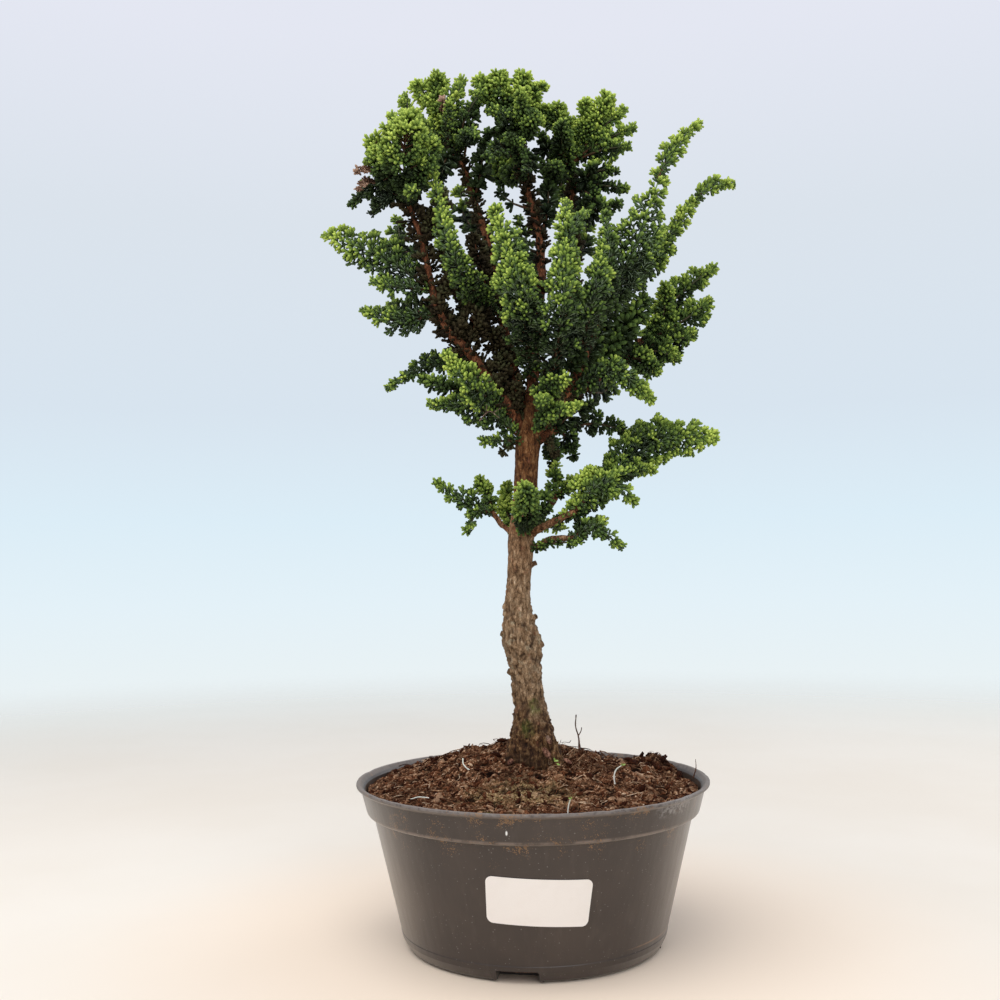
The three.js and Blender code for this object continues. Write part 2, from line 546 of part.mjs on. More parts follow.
function frondSolid(frond, pad) {
  const { curve, facing, half, puff, sides, stations } = frond;
  const shape = (ring, step) => {
    const along = stations[ring];
    const swell = half * fan(along);
    const rib = STEM_HALF + (ring > 0 ? 0.1 * swell : 0);
    const finger = ring > 0 ? fingerAt(frond, ring, step) : undefined;
    const room = BEND_REACH / (bendTowards(curve, along, sideOf(frond, along, step)) + 1e-6);
    const reach = finger ? Math.min(finger.size * swell, room) : 0;
    const sideways = Math.abs(Math.sin((step * 2 * Math.PI) / sides));
    const ahead = reach * THREE.MathUtils.lerp(puff, 1, sideways) * FINGER_SWEEP;
    return { width: Math.max(rib, reach), depth: Math.max(rib, reach * puff), ahead };
  };
  return grow({ curve, facing, sides, stations, shape, pad });
}

function boxesMeet(a, b) {
  return [0, 1, 2].every((i) => a.min[i] <= b.max[i] && b.min[i] <= a.max[i]);
}

// Where a finger's tip is, near enough to tell which finger is in the way.
function fingerTip(frond, { pitch, step, size }) {
  const { curve, half, stations } = frond;
  const along = stations[1 + pitch * 4 + (isEarly(frond, step) ? 2 : 3)];
  const reach = size * half * fan(along);
  return curve.getPoint(along)
    .addScaledVector(sideOf(frond, along, step), reach)
    .addScaledVector(curve.getTangent(along), reach * FINGER_SWEEP);
}

// Cuts fingers short, nearest first, until a frond stands clear of everything in the way.
function clearFrond(frond, obstacles) {
  for (;;) {
    const solid = frondSolid(frond, GAP);
    const box = solid.boundingBox();
    const met = obstacles.filter((other) => boxesMeet(box, other.box));
    const clash = met.map((other) => solid.intersect(other.solid)).find((shared) => !shared.isEmpty());
    if (!clash) return;
    const { min, max } = clash.boundingBox();
    const place = new THREE.Vector3(...min).add(new THREE.Vector3(...max)).multiplyScalar(0.5);
    const long = frond.fingers.filter((finger) => finger.size > SHORTEST);
    if (long.length === 0) return;
    const distance = (finger) => fingerTip(frond, finger).distanceTo(place);
    long.sort((a, b) => distance(a) - distance(b));
    long[0].size *= SHORTEN;
  }
}

function sprays(trunkWithGap) {
  const grown = SPRAYS.map(({ name, old, fronds }, index) => {
    const random = randomFrom(index + 1);
    return { name, old, fronds: fronds.map((frond) => makeFrond(frond, random)) };
  });
  const obstacleFrom = (owner, solid) => ({ owner, solid, box: solid.boundingBox() });
  const rib = (frond) => frondSolid({ ...frond, fingers: [] }, 0);
  const placed = grown.flatMap(({ name, fronds }) => fronds.map((frond) => obstacleFrom(name, rib(frond))));
  for (const { name, fronds } of grown) {
    const obstacles = placed.filter((other) => other.owner !== name);
    for (const frond of fronds) {
      clearFrond(frond, obstacles);
      placed.push(obstacleFrom(name, frondSolid(frond, 0)));
    }
  }
  return grown.map(({ name, old, fronds }) => {
    const solid = wasm.Manifold.union(fronds.map((frond) => frondSolid(frond, 0))).subtract(trunkWithGap);
    return { name: `spray_${name}`, solid: largestBody(solid), finish: old ? 'old_leaf' : 'leaf' };
  });
}

// ---------------------------------------------------------------- the plant in its bowl

const trunkWithGap = trunkParts(GAP);

const pieces = [
  { name: 'bowl', solid: bowl(), finish: 'bowl' },
  { name: 'soil', solid: soil(trunkWithGap), finish: 'soil' },
  { name: 'trunk', solid: trunkParts(0), finish: 'bark' },
  { name: 'label', solid: label(), finish: 'label' },
  ...sprays(trunkWithGap),
];

const bonsai = new THREE.Group();
for (const { name, solid, finish } of pieces) {
  const mesh = new THREE.Mesh(toGeometry(solid), new THREE.MeshStandardMaterial(COLOURS[finish]));
  mesh.name = name;
  bonsai.add(mesh);
}

export default bonsai;
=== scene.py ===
"""Dresses the solids of a hinoki cypress in its nursery bowl: bowl, label, peat, bark and foliage.

Lengths in the tables are millimetres in the solids' own frame: +Z is up, the label faces -Y, and the
origin is on the table under the middle of the bowl. finished() turns them to metres.
"""

import math
import random

import bmesh
import bpy
import numpy as np
from bpy.props import FloatProperty, FloatVectorProperty, IntProperty, PointerProperty
from mathutils import Matrix, Vector, noise


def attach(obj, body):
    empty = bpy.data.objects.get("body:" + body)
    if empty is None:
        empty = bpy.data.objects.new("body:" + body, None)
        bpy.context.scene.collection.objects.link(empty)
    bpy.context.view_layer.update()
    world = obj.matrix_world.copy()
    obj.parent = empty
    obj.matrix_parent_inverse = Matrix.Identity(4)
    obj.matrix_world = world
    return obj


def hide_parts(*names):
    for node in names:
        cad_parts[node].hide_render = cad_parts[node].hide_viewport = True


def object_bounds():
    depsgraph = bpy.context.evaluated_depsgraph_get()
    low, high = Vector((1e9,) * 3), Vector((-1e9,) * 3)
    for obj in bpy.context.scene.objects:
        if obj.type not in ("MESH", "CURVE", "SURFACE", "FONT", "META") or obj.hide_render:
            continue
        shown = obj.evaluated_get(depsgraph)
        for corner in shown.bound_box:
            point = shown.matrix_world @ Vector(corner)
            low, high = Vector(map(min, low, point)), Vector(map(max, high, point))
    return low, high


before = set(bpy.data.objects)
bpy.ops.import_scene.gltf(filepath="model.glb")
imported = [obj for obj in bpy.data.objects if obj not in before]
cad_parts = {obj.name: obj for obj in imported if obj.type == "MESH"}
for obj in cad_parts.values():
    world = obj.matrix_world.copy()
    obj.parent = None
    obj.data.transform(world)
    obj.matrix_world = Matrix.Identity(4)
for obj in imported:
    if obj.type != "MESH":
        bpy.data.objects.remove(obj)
CAD_BOX = [list(corner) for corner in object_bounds()]

bl_info = {
    "name": "Hinoki Cypress Bonsai",
    "version": (1, 0, 0),
    "blender": (4, 5, 0),
    "location": "3D View > Sidebar > Bonsai",
    "description": "Dresses a potted hinoki cypress with bark, foliage, peat and a moulded bowl",
    "category": "Object",
}

MM = 0.001

# ------------------------------------------------------------------ the bowl, as its solid has it

RIM_RADIUS = 90
RIM_HEIGHT = 81
WALL = 2
FOOT_RADIUS = 61
WALL_FOOT = (67, 5.5)
WALL_HEAD = (81.3, 65.5)
COLLAR_RADIUS = 84.5
COLLAR_TOP = RIM_HEIGHT - 3.6
NOTCH_TURNS = [-7, 83, 173, 263]
NOTCH_WIDTH = 20
NOTCH_HEIGHT = 6
NOTCH_REACH = 53
DRAIN_WIDTH = 9
DRAIN_DEPTH = 5

LABEL_WIDTH = 48
LABEL_HEIGHT = 22
LABEL_CORNER = 3
LABEL_MIDDLE = 39
LABEL_TURN = 1.6
LABEL_TILT = -3

SOIL_EDGE_RADIUS = 84
SOIL_EDGE_HEIGHT = 75.5
SOIL_FRONT_RISE = 2.8
# Heaps on the soil: height, middle and spread. Behind the trunk, against the rim, and loose clods.
SOIL_HEAPS = [(21, (-3, 22), (52, 46)), (2.5, (-50, 50), (30, 30)), (8.5, (66, 34), (11.8, 11.8))]
CLODS_MIDDLE = SOIL_HEAPS[2][1]
# The buried side of the soil, from its edge down to its foot: radius and height.
SOIL_SIDE = [(82.6, 67.9), (78.8, 66.1), (63.3, 6.7), (59.8, 3.3)]

# Where the peat is dark, as centre and radii: painted shade at the trunk's foot and under the clods, and dark
# patches by the wall.
DARK_PEAT_SPOTS = [
    ((-6, -19, 87), (24, 14, 18)),
    ((67, -14, 79), (18, 20, 16)),
    ((69, 34, 84), (20, 20, 20)),
    ((-55, -28, 80), (30, 16, 16)),
    ((34, -4, 88), (16, 14, 16)),
]
# Moss on the trunk's foot: centre and radii.
MOSS_SPOTS = [((2, -10, 118), (8, 10, 11)), ((-3, -11, 107), (9, 10, 9))]

# ------------------------------------------------------------------ trunk and limbs

# The trunk from its buried foot to its fork: x, y, z and radius.
TRUNK = [
    (0, 0, 62, 12), (0.5, 0, 80, 13), (1.2, 0, 90, 13.4), (1.1, 0, 97, 12.2), (0.7, 0.4, 105, 10.6),
    (0.2, 0.8, 112, 9.3), (-1.2, 1.2, 121, 7.9), (-2.2, 1.2, 131, 7.9), (-3.1, 0.8, 141, 8.7),
    (-4.9, 0, 151, 9.2), (-6.3, -0.6, 161.5, 7.8), (-6.5, -1, 172, 6.5), (-5.6, -0.8, 182, 6.2),
    (-4.6, -0.4, 193, 6.5), (-4, 0, 203, 6.8), (-2.5, 0.2, 213.5, 6.4), (-1.4, 0, 224, 6.2),
    (-1.2, 0, 234.5, 5.9), (-0.8, 0, 245, 6.1), (0.1, 0.6, 255.5, 6.8), (1.3, 1.4, 264, 6),
    (2.2, 3, 276, 3),
]

# Limbs: first and last radius, how far old foliage stands round them, then points from the trunk outwards.
LIMBS = {
    "left_leader": (3.9, 1.2, 16, [
        (0, 0, 256), (-8, -2, 270), (-16, -4, 282), (-31, -9, 302), (-40, -11, 311),
        (-46, -13, 325), (-50, -14, 341), (-53, -15, 356), (-58, -15, 372), (-62, -15, 383)]),
    "mid_left_leader": (3.8, 1.4, 12, [
        (0, 3, 260), (-4, 8, 281), (-8, 12, 300), (-13, 16, 323), (-17, 18, 346),
        (-21, 20, 369), (-28, 21, 392), (-34, 22, 412), (-41, 22, 427)]),
    "middle_leader": (4.2, 1.4, 11, [
        (1, 2, 262), (3, 6, 288), (6, 10, 316), (8, 12, 341), (8, 14, 366),
        (4, 16, 384), (1, 16, 398), (-2, 17, 412), (-4, 18, 429)]),
    "mid_right_leader": (3.8, 1.4, 11, [
        (2, 3, 262), (12, 16, 290), (21, 26, 319), (26, 33, 349), (28, 38, 379),
        (27, 40, 403), (26, 40, 423)]),
    "right_leader": (4, 2, 8, [(2, 0, 258), (18, -4, 276), (27, -8, 291), (32, -10, 305), (37, -12, 317)]),
    "low_right_leader": (3.4, 1.5, 8, [
        (3, 2, 262), (17, 8, 275), (34, 18, 287), (51, 24, 302), (63, 26, 313)]),
    "fork_stub": (3, 1.8, 0, [(1, 1, 252), (11, 3, 259), (17, 10, 263)]),
    "lowest_branch": (2.3, 1.4, 0, [(-4, 0, 198), (2, -4, 199), (11, -10, 203), (21, -16, 203)]),
    "low_front_branch": (2.9, 1.5, 0, [(-3, 0, 203), (4, -5, 208), (13, -12, 212), (24, -18, 217)]),
    "low_back_branch": (2.7, 1.3, 0, [
        (-3, 1, 205), (4, 4, 212), (12, 10, 222), (18, 14, 230), (34, 16, 233)]),
    "low_left_branch": (2.4, 1.2, 0, [(-3, 0, 203), (-8, 3, 207), (-14, 4, 211), (-19, 6, 218)]),
}

# Stubs of old side shoots on the trunk: where one stands, which way it points, and its radius.
KNOBS = [
    ((-1, 0, 146), (6.4, -2, 149.5), 3.4),
    ((-3, 0, 160), (3.2, -3, 163.6), 3),
    ((-4, 0, 188), (3.6, -2, 191), 2.6),
    ((-4, 0, 133), (-11.6, -3, 135.6), 3.4),
    ((-8, 0, 152), (-15.2, -2, 155), 3.4),
]

# ------------------------------------------------------------------ sprays

# Each spray and its fronds: where a frond leaves its limb, a point on its way, its tip, its half width,
# and how far it is from a flat fan (0) towards a round cushion (1). A sixth value makes a frond fresher
# or duller than its spray, by its own tone and by painted shade, which the freshness table does for whole
# sprays.
SPRAYS = {
    "left_long": [
        ((-48, -13, 333), (-74, -8, 351), (-108, 0, 369), 14, 0.2),
        ((-48, -13, 333), (-66, -16, 334), (-80, -14, 338), 8, 0.4)],
    "left_low": [((-45, -12, 321), (-65, -12, 317), (-86, -8, 324), 11, 0.4)],
    "left_droop": [((-20, -5, 286), (-49, 4, 297), (-75, 0, 283), 8, 0.4)],
    "left_bright": [((-12, -3, 274), (-26, -26, 279), (-41, -34, 296), 11, 0.4)],
    "left_lowest": [
        ((-2, -2, 255), (-24, -12, 270), (-52, -14, 273), 10, 0.35),
        ((-2, -2, 255), (-14, -10, 254), (-23, -12, 254), 6, 0.6)],
    "dome": [
        ((-60, -15, 379), (-61, -30, 399), (-58, -24, 421), 15, 0.8),
        ((-60, -15, 379), (-53, -26, 392), (-46, -26, 407), 10, 0.7),
        ((-60, -15, 379), (-58, -28, 380), (-55, -38, 376), 6, 0.7)],
    "dome_left": [
        ((-62, -15, 383), (-73, -20, 396), (-79, -16, 412), 10, 0.8),
        ((-62, -15, 383), (-78, -10, 390), (-91, -7, 381), 9, 0.5, -0.3),
        ((-60, -15, 379), (-70, -14, 382), (-80, -12, 374), 8, 0.5, -0.4)],
    "beside_leader": [((-13, 16, 323), (-34, -26, 342), (-48, -22, 394), 10, 0.5)],
    "top_left": [
        ((-41, 22, 427), (-58, 20, 434), (-67, 18, 451), 9, 0.6),
        ((-41, 22, 427), (-58, 22, 428), (-73, 20, 438), 8, 0.7),
        ((-41, 22, 427), (-49, 20, 444), (-59, 18, 457), 9, 0.7),
        ((-41, 22, 427), (-48, 18, 448), (-46, 16, 460), 9, 0.7),
        ((-41, 22, 427), (-39, 16, 442), (-33, 14, 457), 10, 0.6)],
    "top_left_inner": [
        ((-37, 22, 418), (-32, 12, 434), (-22, 9, 449), 7, 0.6),
        ((-37, 22, 418), (-42, 8, 430), (-38, 2, 440), 7, 0.6),
        ((-37, 22, 418), (-32, 6, 422), (-26, -2, 417), 7, 0.7)],
    "top_left_back": [((-38, 22, 421), (-48, 34, 434), (-52, 44, 448), 9, 0.8)],
    "top_middle": [
        ((-4, 18, 429), (-14, 16, 443), (-25, 12, 456), 10, 0.7),
        ((-4, 18, 429), (-11, 14, 446), (-13, 12, 458), 10, 0.7),
        ((-4, 18, 429), (-1, 17, 443), (11, 15, 453), 9, 0.7),
        ((-4, 18, 429), (-2, 17, 446), (1, 15, 459), 11, 0.7)],
    "top_middle_front": [
        ((-3, 17, 420), (-8, 3, 429), (-17, -6, 431), 8, 0.6),
        ((-3, 17, 420), (0, 2, 430), (-2, -6, 440), 7, 0.7),
        ((-3, 17, 420), (4, 0, 424), (6, -8, 428), 8, 0.7)],
    "middle_front": [
        ((1, 16, 400), (-10, -2, 411), (-20, -14, 402), 9, 0.5),
        ((1, 16, 400), (-4, -2, 412), (-8, -12, 414), 7, 0.7),
        ((1, 16, 400), (3, -2, 406), (1, -14, 394), 8, 0.6)],
    "top_right": [
        ((26, 40, 423), (20, 32, 437), (9, 28, 445), 9, 0.7),
        ((26, 40, 423), (22, 32, 437), (19, 28, 447), 9, 0.7),
        ((26, 40, 423), (33, 32, 435), (35, 26, 448), 9, 0.7),
        ((26, 40, 423), (37, 32, 433), (47, 24, 450), 11, 0.7)],
    "top_right_far": [
        ((26, 40, 418), (42, 29, 432), (56, 22, 442), 9, 0.6),
        ((26, 40, 418), (44, 28, 426), (61, 20, 430), 8, 0.5),
        ((26, 40, 418), (44, 28, 421), (58, 18, 419), 9, 0.6)],
    "top_right_low": [
        ((27, 40, 405), (42, 33, 411), (51, 27, 408), 7, 0.6),
        ((27, 40, 405), (40, 30, 402), (56, 22, 396), 8, 0.5),
        ((27, 40, 405), (36, 28, 396), (44, 18, 384), 8, 0.6)],
    "top_right_inner": [
        ((27, 40, 411), (21, 18, 418), (21, 8, 428), 9, 0.8),
        ((27, 40, 411), (17, 20, 405), (17, 8, 405), 8, 0.7)],
    "front_plume": [((3, 5, 286), (-3, -44, 320), (-16, -38, 370), 14, 0.35)],
    "front_plume_right": [
        ((10, -2, 267), (18, -46, 318), (21, -34, 374), 12, 0.5),
        ((15, -42, 334), (23, -42, 354), (31, -32, 367), 7, 0.6)],
    "front_plume_far": [((24, -7, 286), (34, -38, 322), (39, -29, 352), 10, 0.4)],
    "right_inner": [((31, -10, 302), (42, -28, 332), (41, -18, 372), 9, 0.5)],
    "right_big": [
        ((37, -12, 317), (53, -16, 346), (73, -6, 397), 15, 0.25),
        ((70, -8, 391), (79, -4, 409), (94, 0, 424), 7, 0.5)],
    "right_second": [
        ((36, -11, 313), (67, 6, 352), (91, 1, 384), 10, 0.4),
        ((88, 2, 380), (98, 0, 389), (111.6, 0, 390), 7, 0.4)],
    "right_third": [
        ((63, 26, 313), (84, 24, 337), (103, 16, 351), 10, 0.5),
        ((63, 26, 313), (75, 22, 326), (76, 18, 341), 9, 0.7)],
    "right_third_low": [
        ((58, 25, 308), (84, 20, 321), (100, 14, 332), 11, 0.5),
        ((58, 25, 308), (79, 17, 310), (90, 12, 313), 10, 0.5)],
    "right_third_droop": [
        ((51, 24, 302), (70, 17, 305), (81, 11, 299), 10, 0.5),
        ((51, 24, 302), (62, 14, 300), (69, 10, 292), 9, 0.7)],
    "low_bright": [((20, -5, 279), (44, -24, 286), (64, -20, 272), 10, 0.4)],
    "cushions": [
        ((6, -1, 261), (10, -24, 279), (20, -36, 282), 8, 0.6),
        ((6, -1, 261), (11, -22, 266), (26, -38, 267), 10, 0.6),
        ((6, -1, 261), (9, -24, 272), (6, -38, 270), 6, 0.7)],
    "bridge": [
        ((17, 10, 263), (39, 20, 266), (64, 20, 258), 8, 0.5),
        ((17, 10, 263), (21, 13, 257), (25, 16, 248), 8, 0.7)],
    "right_arm": [
        ((34, 16, 233), (64, 10, 255), (102, 4, 256), 16, 0.35),
        ((34, 16, 233), (50, 8, 240), (66, 2, 239), 8, 0.6)],
    "low_front_spray": [
        ((24, -18, 217), (38, -22, 231), (54, -16, 221), 10, 0.6),
        ((24, -18, 217), (26, -16, 229), (32, -18, 238), 7, 0.8)],
    "low_back_spray": [
        ((15, 12, 226), (14, 13, 234), (15, 9, 243), 6, 0.8),
        ((15, 12, 226), (22, 8, 232), (30, 4, 235), 6, 0.8)],
    "lowest_spray": [
        ((21, -16, 203), (33, -20, 208), (47, -22, 198), 8, 0.6),
        ((21, -16, 203), (28, -10, 210), (38, -8, 212), 7, 0.6)],
    "low_left_spray": [
        ((-19, 6, 218), (-33, 4, 224), (-49, 2, 234), 8, 0.5),
        ((-19, 6, 218), (-27, 3, 218), (-32, 0, 208), 7, 0.5),
        ((-19, 6, 218), (-22, 9, 228), (-26, 8, 236), 7, 0.7)],
    "low_cushion": [((-2, -3, 207), (-1, -22, 216), (-1, -40, 226), 10, 0.9)],
    "low_left_back_spray": [((-8, 3, 207), (-12, 16, 220), (-12, 22, 234), 7, 0.7)],
    "low_rear_spray": [
        ((0, 1, 208), (-4, 28, 214), (-10, 48, 224), 9, 0.6),
        ((0, 1, 208), (10, 28, 212), (20, 44, 210), 8, 0.6)],
    "rear_left_high": [((-52, -15, 350), (-66, 12, 362), (-72, 30, 386), 11, 0.5)],
    "rear_left": [((-46, -13, 326), (-62, 14, 328), (-78, 34, 336), 11, 0.4)],
    "rear_left_low": [((-30, -9, 301), (-44, 22, 302), (-55, 43, 305), 10, 0.4)],
    "rear_mid_left": [((-15, 17, 334), (-32, 44, 346), (-42, 58, 374), 12, 0.4)],
    "rear_mid_left_high": [((-22, 20, 373), (-34, 42, 388), (-38, 54, 412), 11, 0.6)],
    "rear_middle": [((6, 10, 314), (-4, 50, 326), (-10, 68, 356), 13, 0.4)],
    "rear_middle_high": [((8, 13, 356), (0, 44, 368), (-4, 60, 396), 12, 0.5)],
    "rear_top": [((0, 16, 404), (-10, 42, 414), (-12, 54, 438), 11, 0.7)],
    "rear_right": [((20, 25, 316), (32, 58, 324), (36, 76, 350), 12, 0.4)],
    "rear_right_high": [((27, 36, 366), (34, 62, 376), (38, 70, 402), 12, 0.5)],
    "rear_right_top": [((27, 40, 396), (22, 58, 412), (24, 66, 436), 10, 0.7)],
    "rear_right_low": [((30, 16, 284), (44, 46, 288), (56, 66, 304), 11, 0.4)],
    "rear_right_side": [((47, 23, 298), (66, 48, 308), (84, 56, 330), 11, 0.4)],
    "rear_low_left": [((-4, 8, 281), (-22, 36, 278), (-34, 56, 290), 11, 0.4)],
    "rear_low": [((3, 6, 270), (6, 40, 264), (14, 60, 274), 11, 0.4)],
    "old_left": [((-54, -15, 358), (-47, -12, 369), (-43, -8, 387), 9, 0.8)],
}
OLD_SPRAYS = {"old_left"}
# How much fresher or duller than the rest each spray is: partly its own tone, partly painted shade for sprays
# within or beneath the crown.
FRESHNESS_AND_SHADE = {
    "front_plume": 0.1, "dome": -0.17, "dome_left": -0.13, "left_long": 0.05, "left_bright": 0.14,
    "beside_leader": 0.2, "right_big": 0.1, "right_second": 0.12, "top_left": 0.08, "top_middle": 0.06,
    "low_bright": 0.1,
    "top_right": 0.04, "top_right_far": 0.08, "middle_front": -0.2, "top_middle_front": -0.16,
    "top_left_inner": -0.08, "top_left_back": -0.1, "top_right_low": -0.14, "top_right_inner": -0.14,
    "left_lowest": -0.16, "left_droop": -0.12, "bridge": -0.2, "low_back_spray": -0.14,
    "lowest_spray": -0.12, "low_left_spray": -0.14, "low_cushion": -0.24, "right_third": -0.06,
    "right_third_low": -0.08, "right_third_droop": -0.04, "right_arm": 0.1, "right_inner": -0.08,
    "front_plume_far": -0.08, "front_plume_right": 0.02,
}

# Fronds inside and beneath the crown that hardly see the sun.
SHADED_GROWTH = {
    "right": [
        ((17, 8, 275), (40, 9, 300), (64, 6, 332), 11, 0.75),
        ((34, 18, 287), (48, 14, 304), (60, 12, 322), 8, 0.75),
        ((27, -8, 291), (38, 2, 310), (46, 8, 330), 9, 0.75)],
    "top_left": [
        ((-28, 21, 392), (-24, 16, 404), (-22, 14, 422), 9, 0.8),
        ((-34, 22, 412), (-30, 16, 428), (-25, 13, 444), 7, 0.8),
        ((-37, 22, 418), (-43, 14, 412), (-45, 8, 398), 9, 0.8),
        ((-62, -15, 383), (-58, -4, 392), (-55, 2, 408), 10, 0.8),
        ((-62, -15, 383), (-70, -13, 385), (-78, -12, 380), 8, 0.75)],
    "top_middle": [
        ((-4, 18, 426), (-10, 13, 428), (-20, 10, 424), 8, 0.8),
        ((26, 40, 418), (16, 30, 420), (8, 22, 427), 9, 0.8),
        ((4, 16, 384), (-6, 12, 386), (-14, 10, 392), 6, 0.8),
        ((8, 14, 366), (13, 20, 388), (12, 24, 412), 9, 0.8)],
    "top_right": [
        ((27, 40, 405), (34, 32, 406), (38, 22, 409), 9, 0.8),
        ((27, 38, 379), (31, 26, 384), (34, 16, 390), 8, 0.8),
        ((27, 38, 379), (36, 30, 386), (52, 16, 386), 8, 0.75)],
    "middle": [
        ((6, 10, 316), (0, -4, 336), (-4, -8, 356), 10, 0.75),
        ((18, -4, 276), (24, -16, 300), (28, -18, 326), 9, 0.75)],
    "low_left": [((-16, -4, 282), (-34, -6, 281), (-56, -4, 288), 8, 0.7)],
    "low_right": [
        ((11, 3, 259), (20, 8, 267), (34, 10, 276), 8, 0.8),
        ((11, 3, 259), (13, 10, 253), (13, 13, 244), 7, 0.8)],
    "whorl": [
        ((13, -12, 212), (26, -15, 218), (42, -17, 226), 7, 0.8),
        ((4, 4, 212), (8, 0, 221), (12, -2, 231), 7, 0.8),
        ((2, -4, 199), (12, -12, 201), (26, -18, 201), 4, 0.8),
        ((24, -18, 217), (40, -20, 232), (58, -14, 238), 6, 0.7)],
}

# Masses of past years' leaves that hang on the leaders.
BRONZE_GROWTH = {
    "left": [
        ((-31, -9, 302), (-27, -4, 318), (-32, 0, 342), 12, 0.8),
        ((-31, -9, 302), (-40, -2, 316), (-52, 2, 330), 9, 0.8),
        ((-46, -13, 325), (-38, -12, 340), (-42, -10, 362), 9, 0.8)],
    "fork": [
        ((3, 2, 262), (12, -5, 268), (17, -8, 278), 5, 0.8),
        ((-8, 0, 272), (-6, -3, 280), (-5, -4, 288), 5, 0.8),
        ((-3, 0, 254), (-9, -5, 253), (-13, -5, 249), 4.5, 0.8),
        ((4, 0, 255), (10, -3, 254), (14, -3, 248), 4.5, 0.8)],
    "middle": [
        ((-8, 12, 300), (-14, 4, 306), (-20, 2, 314), 10, 0.8),
        ((-16, -4, 282), (-15, 0, 290), (-14, 4, 302), 9, 0.8),
        ((0, 0, 256), (-8, 2, 272), (-16, 6, 290), 8, 0.8),
        ((-13, 16, 323), (-22, 9, 342), (-28, 10, 368), 9, 0.8)],
}

# Shaded growth that stands where it is seen, so its leaves keep their true size.
SEEN_SHADED = {"low_right", "low_left", "whorl"}

# Small dried tips.
DRIED_GROWTH = {
    "dome": [
        ((-78, -18, 395), (-81, -20, 395), (-85, -22, 393), 2.5, 0.5),
        ((-78, -16, 390), (-82, -19, 389), (-85, -20, 385), 2.5, 0.5)],
    "top": [((-42, 16, 436), (-43, 8, 438), (-42, 4, 440), 1.5, 0.5)],
}

# Places where neighbouring fronds shade each other: centre, radii and how much.
HOLLOWS = [
    ((7, -38, 330), (7, 20, 44), 0.6),
    ((26, -34, 330), (5, 20, 36), 0.3),
    ((12, -26, 298), (26, 26, 24), 0.3),
    ((-26, 8, 424), (10, 18, 20), 0.3),
    ((14, 14, 422), (9, 20, 22), 0.3),
    ((-66, -22, 384), (18, 20, 13), 0.45),
    ((-1, -26, 206), (14, 20, 11), 0.45),
    ((46, -10, 330), (10, 26, 34), 0.24),
]


# ------------------------------------------------------------------ seedlings and roots on the peat

# Pale stems and root ends: their points, thickness at both ends, and how green each end is.
SPROUTS = [
    ([(-35.4, -5, 91.5), (-35.2, -6.5, 89), (-33.2, -8, 87), (-31.4, -9, 86)], 0.32, 0.4, 0.15, 0.0),
    ([(41.1, -18, 80.5), (40.7, -18, 84), (41.9, -18, 87.6), (44.6, -18, 89.6)], 0.4, 0.34, 0.0, 0.25),
    ([(55, 19, 80.6), (58.5, 19.6, 80.9), (61.8, 20, 82.9)], 0.75, 0.35, 0.0, 0.0),
    ([(15.6, -78, 79), (15.9, -78, 82), (16.8, -78, 85.2)], 0.3, 0.22, 0.0, 0.4),
    ([(-58, -48, 79.5), (-54, -50, 81), (-49, -49, 80.4)], 0.3, 0.25, 0.1, 0.0),
    ([(-36.6, 40, 85.5), (-36.9, 40.2, 88.5), (-36.2, 40, 91.5)], 0.2, 0.12, 0.1, 0.2),
]
# Seed leaves and shoots: middle, the way each points, length and width.
SEED_LEAVES = [
    ((44.6, -18, 89.6), (0.9, -0.1, 0.25), 3, 1.3), ((44.4, -18, 89.7), (0.3, -0.5, 0.6), 2.2, 1.1),
    ((16.8, -78, 85.2), (0.6, -0.2, 0.8), 1.8, 0.8), ((16.8, -78, 85.2), (-0.7, -0.2, 0.5), 1.6, 0.8),
    ((11, -14.6, 91.4), (0.9, -0.4, 0.1), 3.6, 1.7), ((11.4, -14.4, 91.6), (-0.3, -0.4, 0.8), 2.6, 1.5),
    ((12.4, -15.5, 90.4), (0.6, -0.7, -0.4), 3, 1.6),
]
# Dead twigs: their points and thickness at both ends.
TWIGS = [
    ([(24.6, 6, 93), (24.4, 5.6, 100), (22.9, 5, 106), (23.2, 4, 112)], 0.5, 0.3),
    ([(24.2, 5.5, 101), (25.6, 5, 103.4), (26, 4.6, 105.4)], 0.32, 0.2),
    ([(83.4, 6, 79), (84.6, 4, 84), (84.2, 2, 89)], 0.35, 0.15),
    ([(-24, -30, 262), (-19, -31, 266.5), (-14, -32, 263)], 0.35, 0.2),
    ([(-20.4, -31, 265.4), (-20.2, -32, 270)], 0.28, 0.16),
    ([(-17, -31.4, 265.8), (-13, -32.6, 268)], 0.28, 0.16),
]
# Flakes of bark that have come loose at the trunk's foot: middle, the way each points, length and width.
FLAKES = [
    ((5.6, -14.4, 98), (0.55, -0.2, -0.8), 6.5, 3.4), ((7.5, -13.5, 104), (0.4, -0.25, -0.85), 5, 2.6),
    ((-9.5, -12, 92), (-0.7, -0.5, -0.5), 4, 2.4), ((16, -11, 92), (0.7, -0.3, -0.4), 5, 2.2),
]


# ------------------------------------------------------------------ settings

class BowlSettings(bpy.types.PropertyGroup):
    colour: FloatVectorProperty(
        name="Plastic", description="Colour of the moulded plastic",
        subtype="COLOR", size=3, min=0, max=1, default=(0.038, 0.028, 0.024))
    roughness: FloatProperty(
        name="Roughness", description="How matt the plastic is", subtype="FACTOR", min=0, max=1, default=0.28)
    steps: IntProperty(
        name="Steps", description="Steps of the turned wall round the bowl", min=32, max=256, default=160)


class LabelSettings(bpy.types.PropertyGroup):
    colour: FloatVectorProperty(
        name="Paper", description="Colour of the blank label",
        subtype="COLOR", size=3, min=0, max=1, default=(0.86, 0.81, 0.77))
    thickness: FloatProperty(
        name="Thickness", description="Thickness of the label", unit="LENGTH", min=0.0001, default=0.0003)


